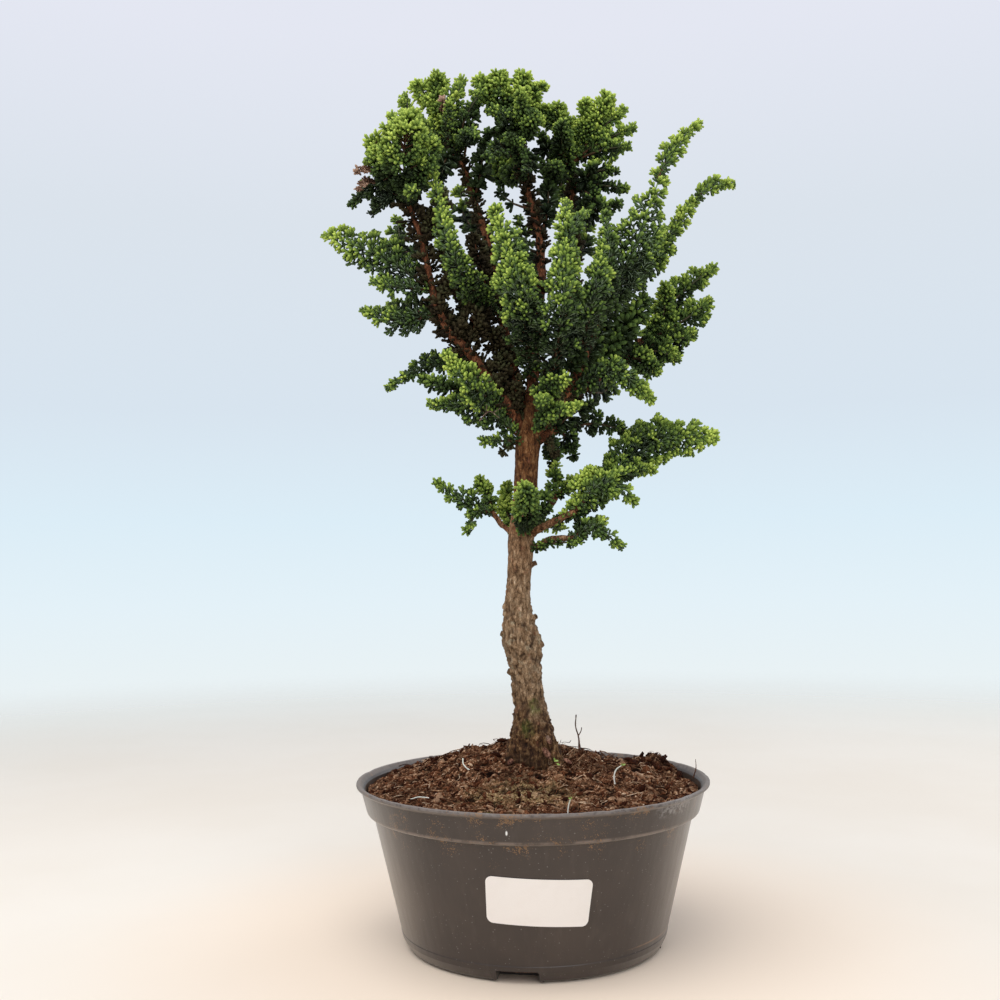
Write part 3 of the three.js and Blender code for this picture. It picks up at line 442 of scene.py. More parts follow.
class PeatSettings(bpy.types.PropertyGroup):
    cell: FloatProperty(
        name="Cell", description="Width of a cell of the peat's surface",
        unit="LENGTH", min=0.0005, default=0.00105)
    crumbs: IntProperty(name="Crumbs", description="Loose crumbs on the peat", min=0, max=3000, default=1550)
    fibres: IntProperty(name="Fibres", description="Loose fibres on the peat", min=0, max=2500, default=900)
    seed: IntProperty(name="Seed", description="Start of the random draws", default=7)


class SproutsSettings(bpy.types.PropertyGroup):
    girth: FloatProperty(
        name="Girth", description="How thick the stems and twigs are, as a share of their own thickness",
        subtype="FACTOR", min=0.2, max=2, default=1)


class BarkSettings(bpy.types.PropertyGroup):
    relief: FloatProperty(
        name="Relief", description="Depth of the bark's fissures", unit="LENGTH", min=0, default=0.0007)
    sides: IntProperty(name="Sides", description="Sides of the trunk", min=16, max=128, default=72)


class FoliageSettings(bpy.types.PropertyGroup):
    pitch: FloatProperty(
        name="Pitch", description="Distance from one sprig to the next along a frond",
        unit="LENGTH", min=0.001, default=0.0031)
    young: FloatVectorProperty(
        name="Young tips", description="Colour of the youngest scale leaves",
        subtype="COLOR", size=3, min=0, max=1, default=(0.58, 0.7, 0.13))
    ripe: FloatVectorProperty(
        name="Ripe leaves", description="Colour of grown scale leaves",
        subtype="COLOR", size=3, min=0, max=1, default=(0.07, 0.12, 0.028))
    # The deep leaves colour is painted shade: the near-black of leaves that lie within a frond.
    deep_shade: FloatVectorProperty(
        name="Deep leaves", description="Colour of the leaves inside a frond",
        subtype="COLOR", size=3, min=0, max=1, default=(0.003, 0.006, 0.0025))


class StageSettings(bpy.types.PropertyGroup):
    key: FloatProperty(
        name="Key", description="Power of the large soft light", unit="POWER", min=0, default=14.5)
    fill: FloatProperty(
        name="Fill", description="Power of the light beside the camera", unit="POWER", min=0, default=4)
    surround: FloatProperty(
        name="Surround", description="Strength of the light from the surroundings",
        min=0, max=1, default=0.62)


# ------------------------------------------------------------------ numbers and curves

def lerp(start, end, share):
    return start + (end - start) * share


def rise(value, low, high):
    """Climbs smoothly from 0 at low to 1 at high."""
    share = min(max((value - low) / (high - low), 0.0), 1.0)
    return share * share * (3 - 2 * share)


def wave(point, size, octaves=3):
    """Soft noise from about -1 to 1, with lumps of that size in millimetres."""
    return noise.fractal(Vector(point) / size, 1.0, 2.0, octaves)


class Spine:
    """The smooth curve that the solids follow through a few points."""

    def __init__(self, points):
        self.points = [Vector(point) for point in points]
        self.last = len(points) - 1

    def at(self, along):
        place = min(max(along, 0.0), 1.0) * self.last
        first = min(int(place), self.last - 1)
        share = place - first
        b, c = self.points[first], self.points[first + 1]
        a = self.points[first - 1] if first > 0 else 2 * b - c
        d = self.points[first + 2] if first + 2 <= self.last else 2 * c - b
        before, here, after = (math.sqrt((q - p).length) for p, q in ((a, b), (b, c), (c, d)))
        leave = ((b - a) / before - (c - a) / (before + here) + (c - b) / here) * here
        reach = ((c - b) / here - (d - b) / (here + after) + (d - c) / after) * here
        square = -3 * b + 3 * c - 2 * leave - reach
        cube = 2 * b - 2 * c + leave + reach
        return b + leave * share + square * share ** 2 + cube * share ** 3

    def heading(self, along):
        return (self.at(min(along + 0.01, 1)) - self.at(max(along - 0.01, 0))).to_3d().normalized()

    def length(self):
        stops = [self.at(step / 24) for step in range(25)]
        return sum((b - a).length for a, b in zip(stops, stops[1:]))


def frame_at(spine, along, facing):
    """The point, heading and two sides of a spine."""
    heading = spine.heading(along)
    across = heading.cross(facing).normalized()
    return spine.at(along).to_3d(), heading, across, across.cross(heading)


def aim(origin, ahead, flat, width, thick, length):
    """Puts a template at origin with its Z running ahead and its Y standing off the flat side."""
    ahead = ahead.normalized()
    side = flat.cross(ahead).normalized()
    off = ahead.cross(side)
    turn = Matrix((side * width, off * thick, ahead * length)).transposed().to_4x4()
    return Matrix.Translation(origin) @ turn


# ------------------------------------------------------------------ meshes

def append(bm, template, matrix, **values):
    """Adds a copy of a template mesh. Each value is (scale, shift) for one of its attributes."""
    copy = template.copy()
    copy.transform(matrix)
    for name, (scale, shift) in values.items():
        data = copy.attributes[name].data
        held = np.zeros(len(data), np.float32)
        data.foreach_get("value", held)
        data.foreach_set("value", np.clip(held * scale + shift, 0, 1).astype(np.float32))
    bm.from_mesh(copy)
    bpy.data.meshes.remove(copy)


def as_template(bm, name):
    mesh = bpy.data.meshes.new(name)
    bm.to_mesh(mesh)
    bm.free()
    return mesh


def tube(bm, sides, rings, place, layer=None):
    """Wraps a grid into a closed tube. place(turn, along) gives a corner, with both from 0 to 1, and with
    a layer also the corner's value there.
    """
    corners = bmesh.ops.create_grid(bm, x_segments=sides, y_segments=rings, size=1.0)["verts"]
    edges = {edge for corner in corners for edge in corner.link_edges}
    for corner in corners:
        placed = place((corner.co.x + 1) / 2 % 1.0, (corner.co.y + 1) / 2)
        if layer is None:
            corner.co = placed
        else:
            corner.co, corner[layer] = placed
    seam = [edge for edge in edges if edge.is_boundary]
    rim = list({corner for edge in seam for corner in edge.verts})
    bmesh.ops.remove_doubles(bm, verts=rim, dist=1e-4)
    ends = [edge for edge in seam if edge.is_valid and edge.is_boundary]
    bmesh.ops.holes_fill(bm, edges=ends, sides=0)


def finished(bm, name, slot, materials, replaces=(), crease=None):
    """Makes a piece of a bmesh in millimetres and gives it to the frame."""
    for face in bm.faces:
        face.smooth = True
    if crease is not None:
        for edge in bm.edges:
            edge.smooth = edge.calc_face_angle(0.0) < math.radians(crease)
    bmesh.ops.scale(bm, vec=(MM, MM, MM), verts=bm.verts)
    mesh = bpy.data.meshes.new(name)
    bm.to_mesh(mesh)
    bm.free()
    for material in materials:
        mesh.materials.append(material)
    piece = bpy.data.objects.new(name, mesh)
    bpy.context.scene.collection.objects.link(piece)
    if replaces:
        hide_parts(*replaces)
    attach(piece, "root")
    return piece


# ------------------------------------------------------------------ node trees

class Graph:
    """A node tree, with short words for the nodes used here."""

    def __init__(self, tree):
        self.tree = tree

    def add(self, kind, inputs=None, **settings):
        node = self.tree.nodes.new("ShaderNode" + kind)
        for name, value in settings.items():
            setattr(node, name, value)
        for name, source in (inputs or {}).items():
            self.put(node.inputs[name], source)
        return node

    def put(self, socket, source):
        if isinstance(source, bpy.types.NodeSocket):
            self.tree.links.new(source, socket)
        else:
            socket.default_value = source

    def place(self):
        return self.add("TexCoord").outputs["Object"]

    def attribute(self, name):
        return self.add("Attribute", attribute_name=name).outputs["Fac"]

    def mapped(self, vector, scale=(1, 1, 1), location=(0, 0, 0)):
        return self.add("Mapping", {"Vector": vector, "Scale": scale, "Location": location}).outputs["Vector"]

    def noise(self, vector, scale, detail=3.0, roughness=0.5, distortion=0.0):
        made = self.add("TexNoise", {
            "Vector": vector, "Scale": scale, "Detail": detail,
            "Roughness": roughness, "Distortion": distortion})
        return made.outputs["Fac"]

    def cells(self, vector, scale, feature="F1"):
        return self.add("TexVoronoi", {"Vector": vector, "Scale": scale}, feature=feature).outputs["Distance"]

    def maths(self, operation, a, b=0.0, clamp=False):
        made = self.add("Math", operation=operation, use_clamp=clamp)
        self.put(made.inputs[0], a)
        self.put(made.inputs[1], b)
        return made.outputs[0]

    def band(self, value, low, high, start=0.0, end=1.0):
        made = self.add("MapRange", {
            "Value": value, "From Min": low, "From Max": high, "To Min": start, "To Max": end},
            interpolation_type="SMOOTHSTEP")
        return made.outputs["Result"]

    def mix(self, share, a, b, kind="MIX"):
        made = self.add("Mix", data_type="RGBA", blend_type=kind)
        self.put(made.inputs[0], share)
        self.put(made.inputs[6], a if isinstance(a, bpy.types.NodeSocket) else (*a, 1.0))
        self.put(made.inputs[7], b if isinstance(b, bpy.types.NodeSocket) else (*b, 1.0))
        return made.outputs[2]

    def ramp(self, value, stops):
        made = self.add("ValToRGB", {"Fac": value})
        elements = made.color_ramp.elements
        while len(elements) < len(stops):
            elements.new(0.5)
        for element, (position, colour) in zip(elements, stops):
            element.position = position
            element.color = (*colour, 1.0)
        return made.outputs["Color"]

    def axis(self, vector, name):
        return self.add("SeparateXYZ", {"Vector": vector}).outputs[name]

    def times(self, a, b):
        return self.maths("MULTIPLY", a, b)

    def tint(self, colour, mask, strength, target):
        """Takes a colour towards the target where the mask is."""
        return self.mix(self.times(mask, strength), colour, target)

    def zone(self, height, low, high):
        """Climbs from 0 to 1 between two heights in millimetres, or falls where low is above high."""
        return self.band(height, low * MM, high * MM)

    def from_axis(self, vector):
        """Distance from the upright axis of the bowl."""
        level = self.mapped(vector, (1, 1, 0))
        return self.add("VectorMath", {0: level}, operation="LENGTH").outputs["Value"]

    def mottle(self, vector, scale, low, high):
        return self.group("Mottle", Vector=vector, Scale=scale, Low=low, High=high)

    def specks(self, vector, scale, cover):
        return self.group("Specks", Vector=vector, Scale=scale, Cover=cover)

    def spot(self, vector, centre, radii, ragged, scale):
        """A patch with its centre and radii in millimetres."""
        centre, radii = (tuple(value * MM for value in values) for values in (centre, radii))
        return self.group("Spot", Vector=vector, Centre=centre, Radii=radii, Break=ragged, Scale=scale)

    def bump(self, height, distance, strength=1.0, normal=None):
        inputs = {"Height": height, "Distance": distance, "Strength": strength}
        if normal is not None:
            inputs["Normal"] = normal
        return self.add("Bump", inputs).outputs["Normal"]

    def group(self, name, **inputs):
        made = self.tree.nodes.new("ShaderNodeGroup")
        made.node_tree = EFFECTS[name]()
        for socket, source in inputs.items():
            self.put(made.inputs[socket], source)
        return made.outputs[0]


def effect(name, inputs, output):
    """Starts a node group with the named inputs and its one output."""
    group = bpy.data.node_groups.new(name, "ShaderNodeTree")
    for socket, kind, value in inputs:
        made = group.interface.new_socket(name=socket, in_out="INPUT", socket_type="NodeSocket" + kind)
        if value is not None:
            made.default_value = value
    group.interface.new_socket(name=output, in_out="OUTPUT", socket_type="NodeSocketFloat")
    graph = Graph(group)
    given = group.nodes.new("NodeGroupInput").outputs
    result = group.nodes.new("NodeGroupOutput").inputs[0]
    return graph, given, result


def mottle_effect():
    """Broad soft blotches from 0 to 1."""
    if "Mottle" in bpy.data.node_groups:
        return bpy.data.node_groups["Mottle"]
    graph, given, result = effect("Mottle", [
        ("Vector", "Vector", None), ("Scale", "Float", 100.0),
        ("Low", "Float", 0.35), ("High", "Float", 0.65),
    ], "Blotches")
    soft = graph.noise(given["Vector"], given["Scale"], 4.0, 0.55)
    graph.put(result, graph.band(soft, given["Low"], given["High"]))
    return graph.tree


def specks_effect():
    """Small separate dots of uneven size. Cover is how much of the surface they take."""
    if "Specks" in bpy.data.node_groups:
        return bpy.data.node_groups["Specks"]
    graph, given, result = effect("Specks", [
        ("Vector", "Vector", None), ("Scale", "Float", 1000.0), ("Cover", "Float", 0.1),
    ], "Dots")
    dots = graph.cells(given["Vector"], given["Scale"])
    size = graph.noise(given["Vector"], graph.times(given["Scale"], 0.4), 2.0)
    reach = graph.times(graph.times(size, given["Cover"]), 1.6)
    inside = graph.maths("SUBTRACT", reach, dots)
    graph.put(result, graph.band(inside, 0.0, 0.06))
    return graph.tree


def spot_effect():
    """A patch that is 1 at its centre and fades to 0 at its radii, broken up by noise."""
    if "Spot" in bpy.data.node_groups:
        return bpy.data.node_groups["Spot"]
    graph, given, result = effect("Spot", [
        ("Vector", "Vector", None), ("Centre", "Vector", (0, 0, 0)), ("Radii", "Vector", (0.01, 0.01, 0.01)),
        ("Break", "Float", 0.5), ("Scale", "Float", 300.0),
    ], "Patch")
    away = graph.add("VectorMath", {0: given["Vector"], 1: given["Centre"]}, operation="SUBTRACT").outputs[0]
    shares = graph.add("VectorMath", {0: away, 1: given["Radii"]}, operation="DIVIDE").outputs[0]
    reach = graph.add("VectorMath", {0: shares}, operation="LENGTH").outputs["Value"]
    ragged = graph.times(graph.noise(given["Vector"], given["Scale"], 4.0, 0.6), given["Break"])
    graph.put(result, graph.band(graph.maths("ADD", reach, ragged), 1.1, 0.5))
    return graph.tree


EFFECTS = {"Mottle": mottle_effect, "Specks": specks_effect, "Spot": spot_effect}


def new_material(name):
    """A material with its graph and its Principled shader."""
    material = bpy.data.materials.new(name)
    material.use_nodes = True
    graph = Graph(material.node_tree)
    return material, graph, material.node_tree.nodes["Principled BSDF"].inputs


# ------------------------------------------------------------------ materials

def plastic_material(settings):
    """Matt black plastic with dust, runs, a worn lip, a collar step both scuffed and painted with a
    highlight, rust grit, a painted sheen where it is seen edge-on, and a soiled inside.
    """
    material, graph, shader = new_material("black_plastic")
    place = graph.place()
    height = graph.axis(place, "Z")
    upright = graph.mapped(place, (1, 1, 0.12))
    dust = graph.mottle(place, 38.0, 0.38, 0.72)
    runs = graph.mottle(upright, 260.0, 0.5, 0.8)
    colour = graph.tint(tuple(settings.colour), dust, 0.5, (0.06, 0.043, 0.034))
    colour = graph.tint(colour, runs, 0.22, (0.1, 0.08, 0.066))

    # The lip is scuffed pale. The collar's step carries a pale band that is partly scuffs and partly a
    # painted highlight, where its rounded edge would catch the light.
    worn = graph.times(graph.zone(height, 78.8, 80.1), graph.mottle(place, 420.0, 0.2, 0.62))
    colour = graph.tint(colour, worn, 0.85, (0.2, 0.17, 0.155))
    step = WALL_HEAD[1]
    edge = graph.times(graph.zone(height, step - 0.2, step + 0.7), graph.zone(height, step + 2.8, step + 1.6))
    broken = graph.times(edge, graph.mottle(upright, 150.0, 0.3, 0.6))
    colour = graph.tint(colour, broken, 0.7, (0.22, 0.17, 0.14))

    # Rust grit gathers below the collar and the lip, and a few pale specks lie anywhere.
    ledge = graph.times(graph.zone(height, 48.5, 67.5), graph.zone(height, 76.5, 65.5))
    near_ledges = graph.maths("MAXIMUM", ledge, graph.zone(height, 66, 78))
    clumps = graph.mottle(place, 95.0, 0.45, 0.72)
    cover = graph.maths("ADD", graph.times(near_ledges, 0.15), 0.045)
    cover = graph.times(cover, graph.maths("ADD", clumps, 0.3))
    grit = graph.specks(place, 1300.0, graph.times(cover, 3.2))
    colour = graph.tint(colour, grit, 0.6, (0.27, 0.14, 0.055))
    pale = graph.specks(graph.mapped(place, location=(3, 1, 2)), 480.0, 0.16)
    colour = graph.tint(colour, pale, 0.4, (0.3, 0.28, 0.26))

    # Lime on the right of the collar, a dusty film low on the left, a rusty scuff and one white scratch.
    lime = graph.spot(place, (66, -55, 77.5), (22, 30, 8.5), 0.7, 330.0)
    lime = graph.times(lime, graph.mottle(place, 600.0, 0.42, 0.56))
    colour = graph.tint(colour, lime, 0.6, (0.34, 0.32, 0.31))
    film = graph.spot(place, (-66, -40, 28), (30, 50, 32), 0.6, 90.0)
    colour = graph.tint(colour, film, 0.3, (0.12, 0.095, 0.075))
    scuff = graph.spot(place, (58, -34, 11), (30, 40, 0.7), 0.5, 240.0)
    colour = graph.tint(colour, scuff, 0.6, (0.3, 0.16, 0.08))
    scratch = graph.spot(place, (-11.7, -84.7, 72), (0.6, 4, 1.4), 0.1, 900.0)
    colour = graph.mix(scratch, colour, (0.8, 0.8, 0.78))

    # Painted sheen: the plastic turns paler where it is seen edge-on, in place of reflection at grazing
    # angles.
    painted_grazing_sheen = graph.band(graph.add("LayerWeight").outputs["Facing"], 0.35, 1.0)
    colour = graph.tint(colour, painted_grazing_sheen, 0.6, (0.26, 0.225, 0.195))

    # Above the peat the inside is soiled. A cone within the wall parts it from the outside.
    lean = graph.maths("SUBTRACT", graph.from_axis(place), graph.times(height, 0.21))
    inside = graph.times(graph.zone(lean, 70, 69.5), graph.zone(height, 67.2, 68.2))
    inside = graph.times(inside, graph.zone(height, 80.3, 79.4))
    soiled = graph.times(inside, graph.maths("ADD", graph.times(clumps, 0.3), 0.6))
    colour = graph.mix(soiled, colour, (0.03, 0.019, 0.014))
    graph.put(shader["Base Color"], colour)

    matt = graph.maths("ADD", graph.times(dust, 0.1), settings.roughness)
    graph.put(shader["Roughness"], graph.maths("ADD", matt, graph.times(worn, 0.3), clamp=True))
    shader["Specular IOR Level"].default_value = 0.5
    ripple = graph.bump(graph.noise(place, 1600.0, 2.0), 0.00004)
    graph.put(shader["Normal"], graph.bump(graph.noise(upright, 90.0, 2.0), 0.0008, 0.5, ripple))
    return material


def paper_material(settings):
    """Plain paper with a fine grain, slightly soiled."""
    material, graph, shader = new_material("label_paper")
    place = graph.place()
    grain = graph.noise(place, 2400.0, 3.0)
    soiling = graph.mottle(place, 120.0, 0.45, 0.75)
    colour = graph.tint(tuple(settings.colour), soiling, 0.12, (0.7, 0.62, 0.54))
    pulp = graph.ramp(grain, [(0.3, (0.6, 0.6, 0.6)), (0.7, (1, 1, 1))])
    graph.put(shader["Base Color"], graph.mix(0.05, colour, pulp))
    graph.put(shader["Roughness"], graph.maths("ADD", graph.times(grain, 0.15), 0.4))
    graph.put(shader["Normal"], graph.bump(grain, 0.00003))
    return material


def peat_material():
    """Crumbly peat with moss, a painted highlight on its crests, painted shade in its hollows, and dark
    spots: painted shade at the trunk's foot and under the clods, and dark patches by the wall.
    """
    material, graph, shader = new_material("peat")
    place = graph.place()
    painted_relief_shading = graph.attribute("painted_relief_shading")
    grain = graph.noise(place, 620.0, 6.0, 0.72)
    strands = graph.noise(graph.mapped(place, (1, 0.35, 1)), 900.0, 3.0, 0.6, 1.2)
    colour = graph.ramp(grain, [
        (0.39, (0.004, 0.001, 0.0005)), (0.46, (0.06, 0.016, 0.006)),
        (0.53, (0.2, 0.074, 0.034)), (0.59, (0.5, 0.27, 0.15)), (0.66, (0.95, 0.72, 0.5))])
    clumps = graph.mottle(place, 130.0, 0.4, 0.6)
    colour = graph.tint(colour, clumps, 0.5, graph.mix(0.4, colour, (0.36, 0.22, 0.12)))
    dark = graph.mottle(graph.mapped(place, location=(5, 1, 0)), 75.0, 0.45, 0.65)
    colour = graph.tint(colour, dark, 0.55, graph.mix(0.7, colour, (0.02, 0.006, 0.003)))
    edge = graph.zone(graph.from_axis(place), 45, 80)
    colour = graph.tint(colour, edge, 0.4, graph.mix(0.75, colour, (0.025, 0.006, 0.003)))
    straw = graph.band(strands, 0.58, 0.72)
    colour = graph.tint(colour, straw, 0.3, (0.45, 0.29, 0.16))
    moss = graph.ramp(graph.noise(place, 1100.0, 3.0, 0.7), [
        (0.38, (0.02, 0.012, 0.005)), (0.5, (0.2, 0.13, 0.055)), (0.64, (0.62, 0.47, 0.24))])
    mossy = graph.spot(place, (-4, -42, 84), (55, 34, 30), 0.75, 120.0)
    colour = graph.tint(colour, mossy, 0.8, moss)
    green = graph.spot(place, (-26, -73, 79), (12, 7, 12), 0.6, 400.0)
    colour = graph.tint(colour, green, 0.7, (0.07, 0.11, 0.02))
    # Painted light and shade: the crests are lifted pale and the hollows darkened nearly to black.
    colour = graph.tint(colour, graph.band(painted_relief_shading, 0.22, 0.0), 0.38, (0.62, 0.4, 0.25))
    colour = graph.tint(colour, graph.band(painted_relief_shading, 0.4, 0.9), 0.95, (0.004, 0.0015, 0.001))
    # Dark spots: painted shade at the trunk's foot and under the clods, and dark patches by the wall.
    for centre, radii in DARK_PEAT_SPOTS:
        dark_spot = graph.spot(place, centre, radii, 0.7, 260.0)
        colour = graph.tint(colour, dark_spot, 0.8, graph.mix(0.3, (0.01, 0.003, 0.0015), colour))
    graph.put(shader["Base Color"], colour)
    shader["Roughness"].default_value = 0.95
    shader["Specular IOR Level"].default_value = 0.06
    graph.put(shader["Normal"], graph.bump(grain, 0.0012, 1.0))
    return material


def litter_material():
    """Crumbs and fibres: tone runs from dark peat through red-brown to straw."""
    material, graph, shader = new_material("litter")
    place = graph.place()
    grain = graph.noise(place, 1500.0, 3.0)
    uneven = graph.times(graph.maths("SUBTRACT", grain, 0.5), 0.9)
    colour = graph.ramp(graph.maths("ADD", graph.attribute("tone"), uneven, clamp=True), [
        (0.0, (0.006, 0.0016, 0.0008)), (0.3, (0.05, 0.013, 0.005)), (0.55, (0.17, 0.064, 0.028)),
        (0.78, (0.48, 0.29, 0.165)), (1.0, (0.88, 0.68, 0.49))])
    graph.put(shader["Base Color"], colour)
    shader["Roughness"].default_value = 0.9
    shader["Specular IOR Level"].default_value = 0.1
    graph.put(shader["Normal"], graph.bump(grain, 0.0003))
    return material


def seedling_material():
    """White stems whose leaves are green: fresh runs from stem to leaf."""
    material, graph, shader = new_material("seedling")
    tint = graph.noise(graph.place(), 900.0, 2.0)
    stem = graph.ramp(tint, [(0.3, (0.7, 0.68, 0.58)), (0.7, (0.92, 0.91, 0.85))])
    leaf = graph.ramp(tint, [(0.3, (0.13, 0.22, 0.03)), (0.7, (0.38, 0.5, 0.12))])
    graph.put(shader["Base Color"], graph.mix(graph.attribute("fresh"), stem, leaf))
    shader["Roughness"].default_value = 0.45
    return material


def twig_material():
    """Dead wood and loose bark: grey-brown, redder on the flakes."""
    material, graph, shader = new_material("dead_twigs")
    place = graph.place()
    grain = graph.noise(place, 900.0, 5.0, 0.65)
    wood = graph.ramp(grain, [
        (0.38, (0.04, 0.022, 0.014)), (0.5, (0.15, 0.1, 0.07)), (0.64, (0.36, 0.27, 0.2))])
    low = graph.band(graph.axis(place, "Z"), 0.105, 0.1)
    reddish = graph.ramp(grain, [
        (0.38, (0.03, 0.01, 0.006)), (0.5, (0.14, 0.055, 0.032)), (0.64, (0.34, 0.18, 0.12))])
    colour = graph.mix(low, wood, reddish)
    colour = graph.mix(graph.attribute("crevice"), colour, (0.04, 0.02, 0.012))
    graph.put(shader["Base Color"], colour)
    shader["Roughness"].default_value = 0.85
    shader["Specular IOR Level"].default_value = 0.25
    graph.put(shader["Normal"], graph.bump(grain, 0.0004, 1.0))
    return material


def bark_material():
    """Grey-brown fissured bark, darker and mossy at its foot, redder on its neck and on young limbs, with
    painted shade in its fissures and at its very foot.
    """
    material, graph, shader = new_material("bark")
    place = graph.place()
    height = graph.axis(place, "Z")
    strands = graph.noise(graph.mapped(place, (1, 1, 0.4)), 560.0, 6.0, 0.7, 0.5)
    flakes = graph.cells(graph.mapped(place, (1, 1, 0.7)), 480.0, "DISTANCE_TO_EDGE")
    old = graph.ramp(strands, [
        (0.36, (0.07, 0.035, 0.016)), (0.45, (0.22, 0.13, 0.068)), (0.52, (0.33, 0.21, 0.118)),
        (0.6, (0.45, 0.3, 0.18)), (0.7, (0.7, 0.53, 0.37))])
    foot = graph.ramp(strands, [
        (0.36, (0.013, 0.004, 0.0015)), (0.45, (0.06, 0.024, 0.009)), (0.52, (0.135, 0.066, 0.026)),
        (0.6, (0.27, 0.15, 0.066)), (0.7, (0.5, 0.34, 0.21))])
    neck = graph.ramp(strands, [
        (0.36, (0.025, 0.009, 0.003)), (0.45, (0.115, 0.042, 0.013)), (0.54, (0.215, 0.088, 0.032)),
        (0.66, (0.4, 0.22, 0.095))])
    young = graph.ramp(strands, [
        (0.36, (0.028, 0.009, 0.004)), (0.5, (0.16, 0.052, 0.021)), (0.66, (0.4, 0.165, 0.075))])
    aloft = graph.maths("ADD", height, graph.times(graph.mottle(place, 110.0, 0.4, 0.62), 12 * MM))
    colour = graph.mix(graph.zone(aloft, 135, 108), old, foot)
    colour = graph.mix(graph.zone(aloft, 170, 245), colour, neck)
    colour = graph.mix(graph.attribute("limb"), colour, young)
    rust = graph.mottle(graph.mapped(place, location=(0.3, 0, 0.1)), 190.0, 0.6, 0.7)
    colour = graph.tint(colour, rust, 0.45, (0.3, 0.11, 0.06))
    lichen = graph.mottle(graph.mapped(place, location=(0.7, 0.2, 0)), 240.0, 0.55, 0.68)
    from_bulge = graph.maths("ABSOLUTE", graph.maths("SUBTRACT", height, 152 * MM))
    crust = graph.times(lichen, graph.zone(from_bulge, 30, 10))
    colour = graph.tint(colour, crust, 0.6, (0.5, 0.42, 0.28))
    for centre, radii in MOSS_SPOTS:
        moss = graph.spot(place, centre, radii, 0.8, 420.0)
        colour = graph.tint(colour, moss, 0.8, graph.mix(0.25, (0.07, 0.115, 0.018), colour))
    # Dark joints between the flakes, and painted shade deep in the fissures where crevice is high.
    cracks = graph.times(graph.band(flakes, 0.14, 0.0), 0.45)
    depth = graph.maths("MAXIMUM", graph.times(graph.attribute("crevice"), 0.85), cracks)
    colour = graph.mix(depth, colour, (0.018, 0.009, 0.006))
    # Painted shade at the very foot of the trunk, beneath its overhang.
    dark_spot = graph.spot(place, (-6, -16, 89), (22, 22, 13), 0.5, 300.0)
    colour = graph.tint(colour, dark_spot, 0.9, graph.mix(0.25, (0.012, 0.004, 0.002), colour))
    graph.put(shader["Base Color"], colour)
    shader["Roughness"].default_value = 0.85
    shader["Specular IOR Level"].default_value = 0.2
    graph.put(shader["Normal"], graph.bump(strands, 0.0009, 1.0))
    return material


def leaf_material(settings):
    """Scale leaves. bright runs from the shaded heart of a frond to its young tips. twig marks bare stems."""
    material, graph, shader = new_material("scale_leaves")
    place = graph.place()
    bright = graph.attribute("bright")
    scales = graph.cells(place, 950.0)
    patches = graph.mottle(place, 60.0, 0.3, 0.7)
    lift = graph.times(graph.maths("SUBTRACT", patches, 0.5), 0.14)
    grown = graph.maths("ADD", bright, lift, clamp=True)
    young, ripe, deep_shade = (tuple(c) for c in (settings.young, settings.ripe, settings.deep_shade))
    colour = graph.ramp(grown, [
        (0.0, deep_shade), (0.25, (0.023, 0.038, 0.01)), (0.5, ripe), (0.76, (0.23, 0.33, 0.055)), (1.0, young)])
    edges = graph.band(scales, 0.45, 0.75)
    colour = graph.tint(colour, edges, 0.3, graph.mix(0.6, colour, (0.01, 0.03, 0.01)))
    silver = graph.band(graph.attribute("ridge"), 0.7, 0.88)
    silver = graph.times(silver, graph.mottle(place, 420.0, 0.4, 0.6))
    silver = graph.times(silver, graph.band(grown, 0.6, 0.38))
    colour = graph.tint(colour, silver, 0.6, (0.26, 0.34, 0.22))
    bare = graph.ramp(bright, [
        (0.05, (0.08, 0.03, 0.014)), (0.25, (0.06, 0.075, 0.045)), (0.5, (0.16, 0.22, 0.14)),
        (0.9, (0.28, 0.4, 0.12))])
    colour = graph.mix(graph.attribute("twig"), colour, bare)
    graph.put(shader["Base Color"], colour)
    shader["Roughness"].default_value = 0.6
    shader["Specular IOR Level"].default_value = 0.14
    graph.put(shader["Normal"], graph.bump(scales, 0.00025, 0.5))
    return material


def old_leaf_material():
    """Leaves of past years: bronze and olive, and dark brown where bright is low, partly dry leaves and
    partly painted shade within the crown.
    """
    material, graph, shader = new_material("old_leaves")
    place = graph.place()
    scales = graph.cells(place, 950.0)
    patches = graph.mottle(place, 85.0, 0.3, 0.7)
    lift = graph.times(graph.maths("SUBTRACT", patches, 0.5), 0.4)
    grown = graph.maths("ADD", graph.attribute("bright"), lift, clamp=True)
    colour = graph.ramp(grown, [
        (0.0, (0.016, 0.011, 0.005)), (0.3, (0.032, 0.023, 0.01)), (0.55, (0.05, 0.04, 0.018)),
        (0.8, (0.054, 0.054, 0.023)), (1.0, (0.1, 0.105, 0.045))])
    colour = graph.mix(graph.attribute("twig"), colour, (0.13, 0.045, 0.02))
    graph.put(shader["Base Color"], colour)
    shader["Roughness"].default_value = 0.75
    shader["Specular IOR Level"].default_value = 0.14
    graph.put(shader["Normal"], graph.bump(scales, 0.00025, 0.5))
    return material


def dry_leaf_material():
    """Dried tips, faded to a pinkish straw."""
    material, graph, shader = new_material("dried_leaves")
    place = graph.place()
    scales = graph.cells(place, 950.0)
    colour = graph.ramp(graph.attribute("bright"), [
        (0.1, (0.03, 0.015, 0.009)), (0.55, (0.15, 0.08, 0.05)), (0.95, (0.5, 0.33, 0.24))])
    edges = graph.band(scales, 0.4, 0.8, 0.0, 0.3)
    graph.put(shader["Base Color"], graph.mix(edges, colour, (0.12, 0.06, 0.04)))
    shader["Roughness"].default_value = 0.85
    shader["Specular IOR Level"].default_value = 0.14
    graph.put(shader["Normal"], graph.bump(scales, 0.00025, 0.5))
    return material


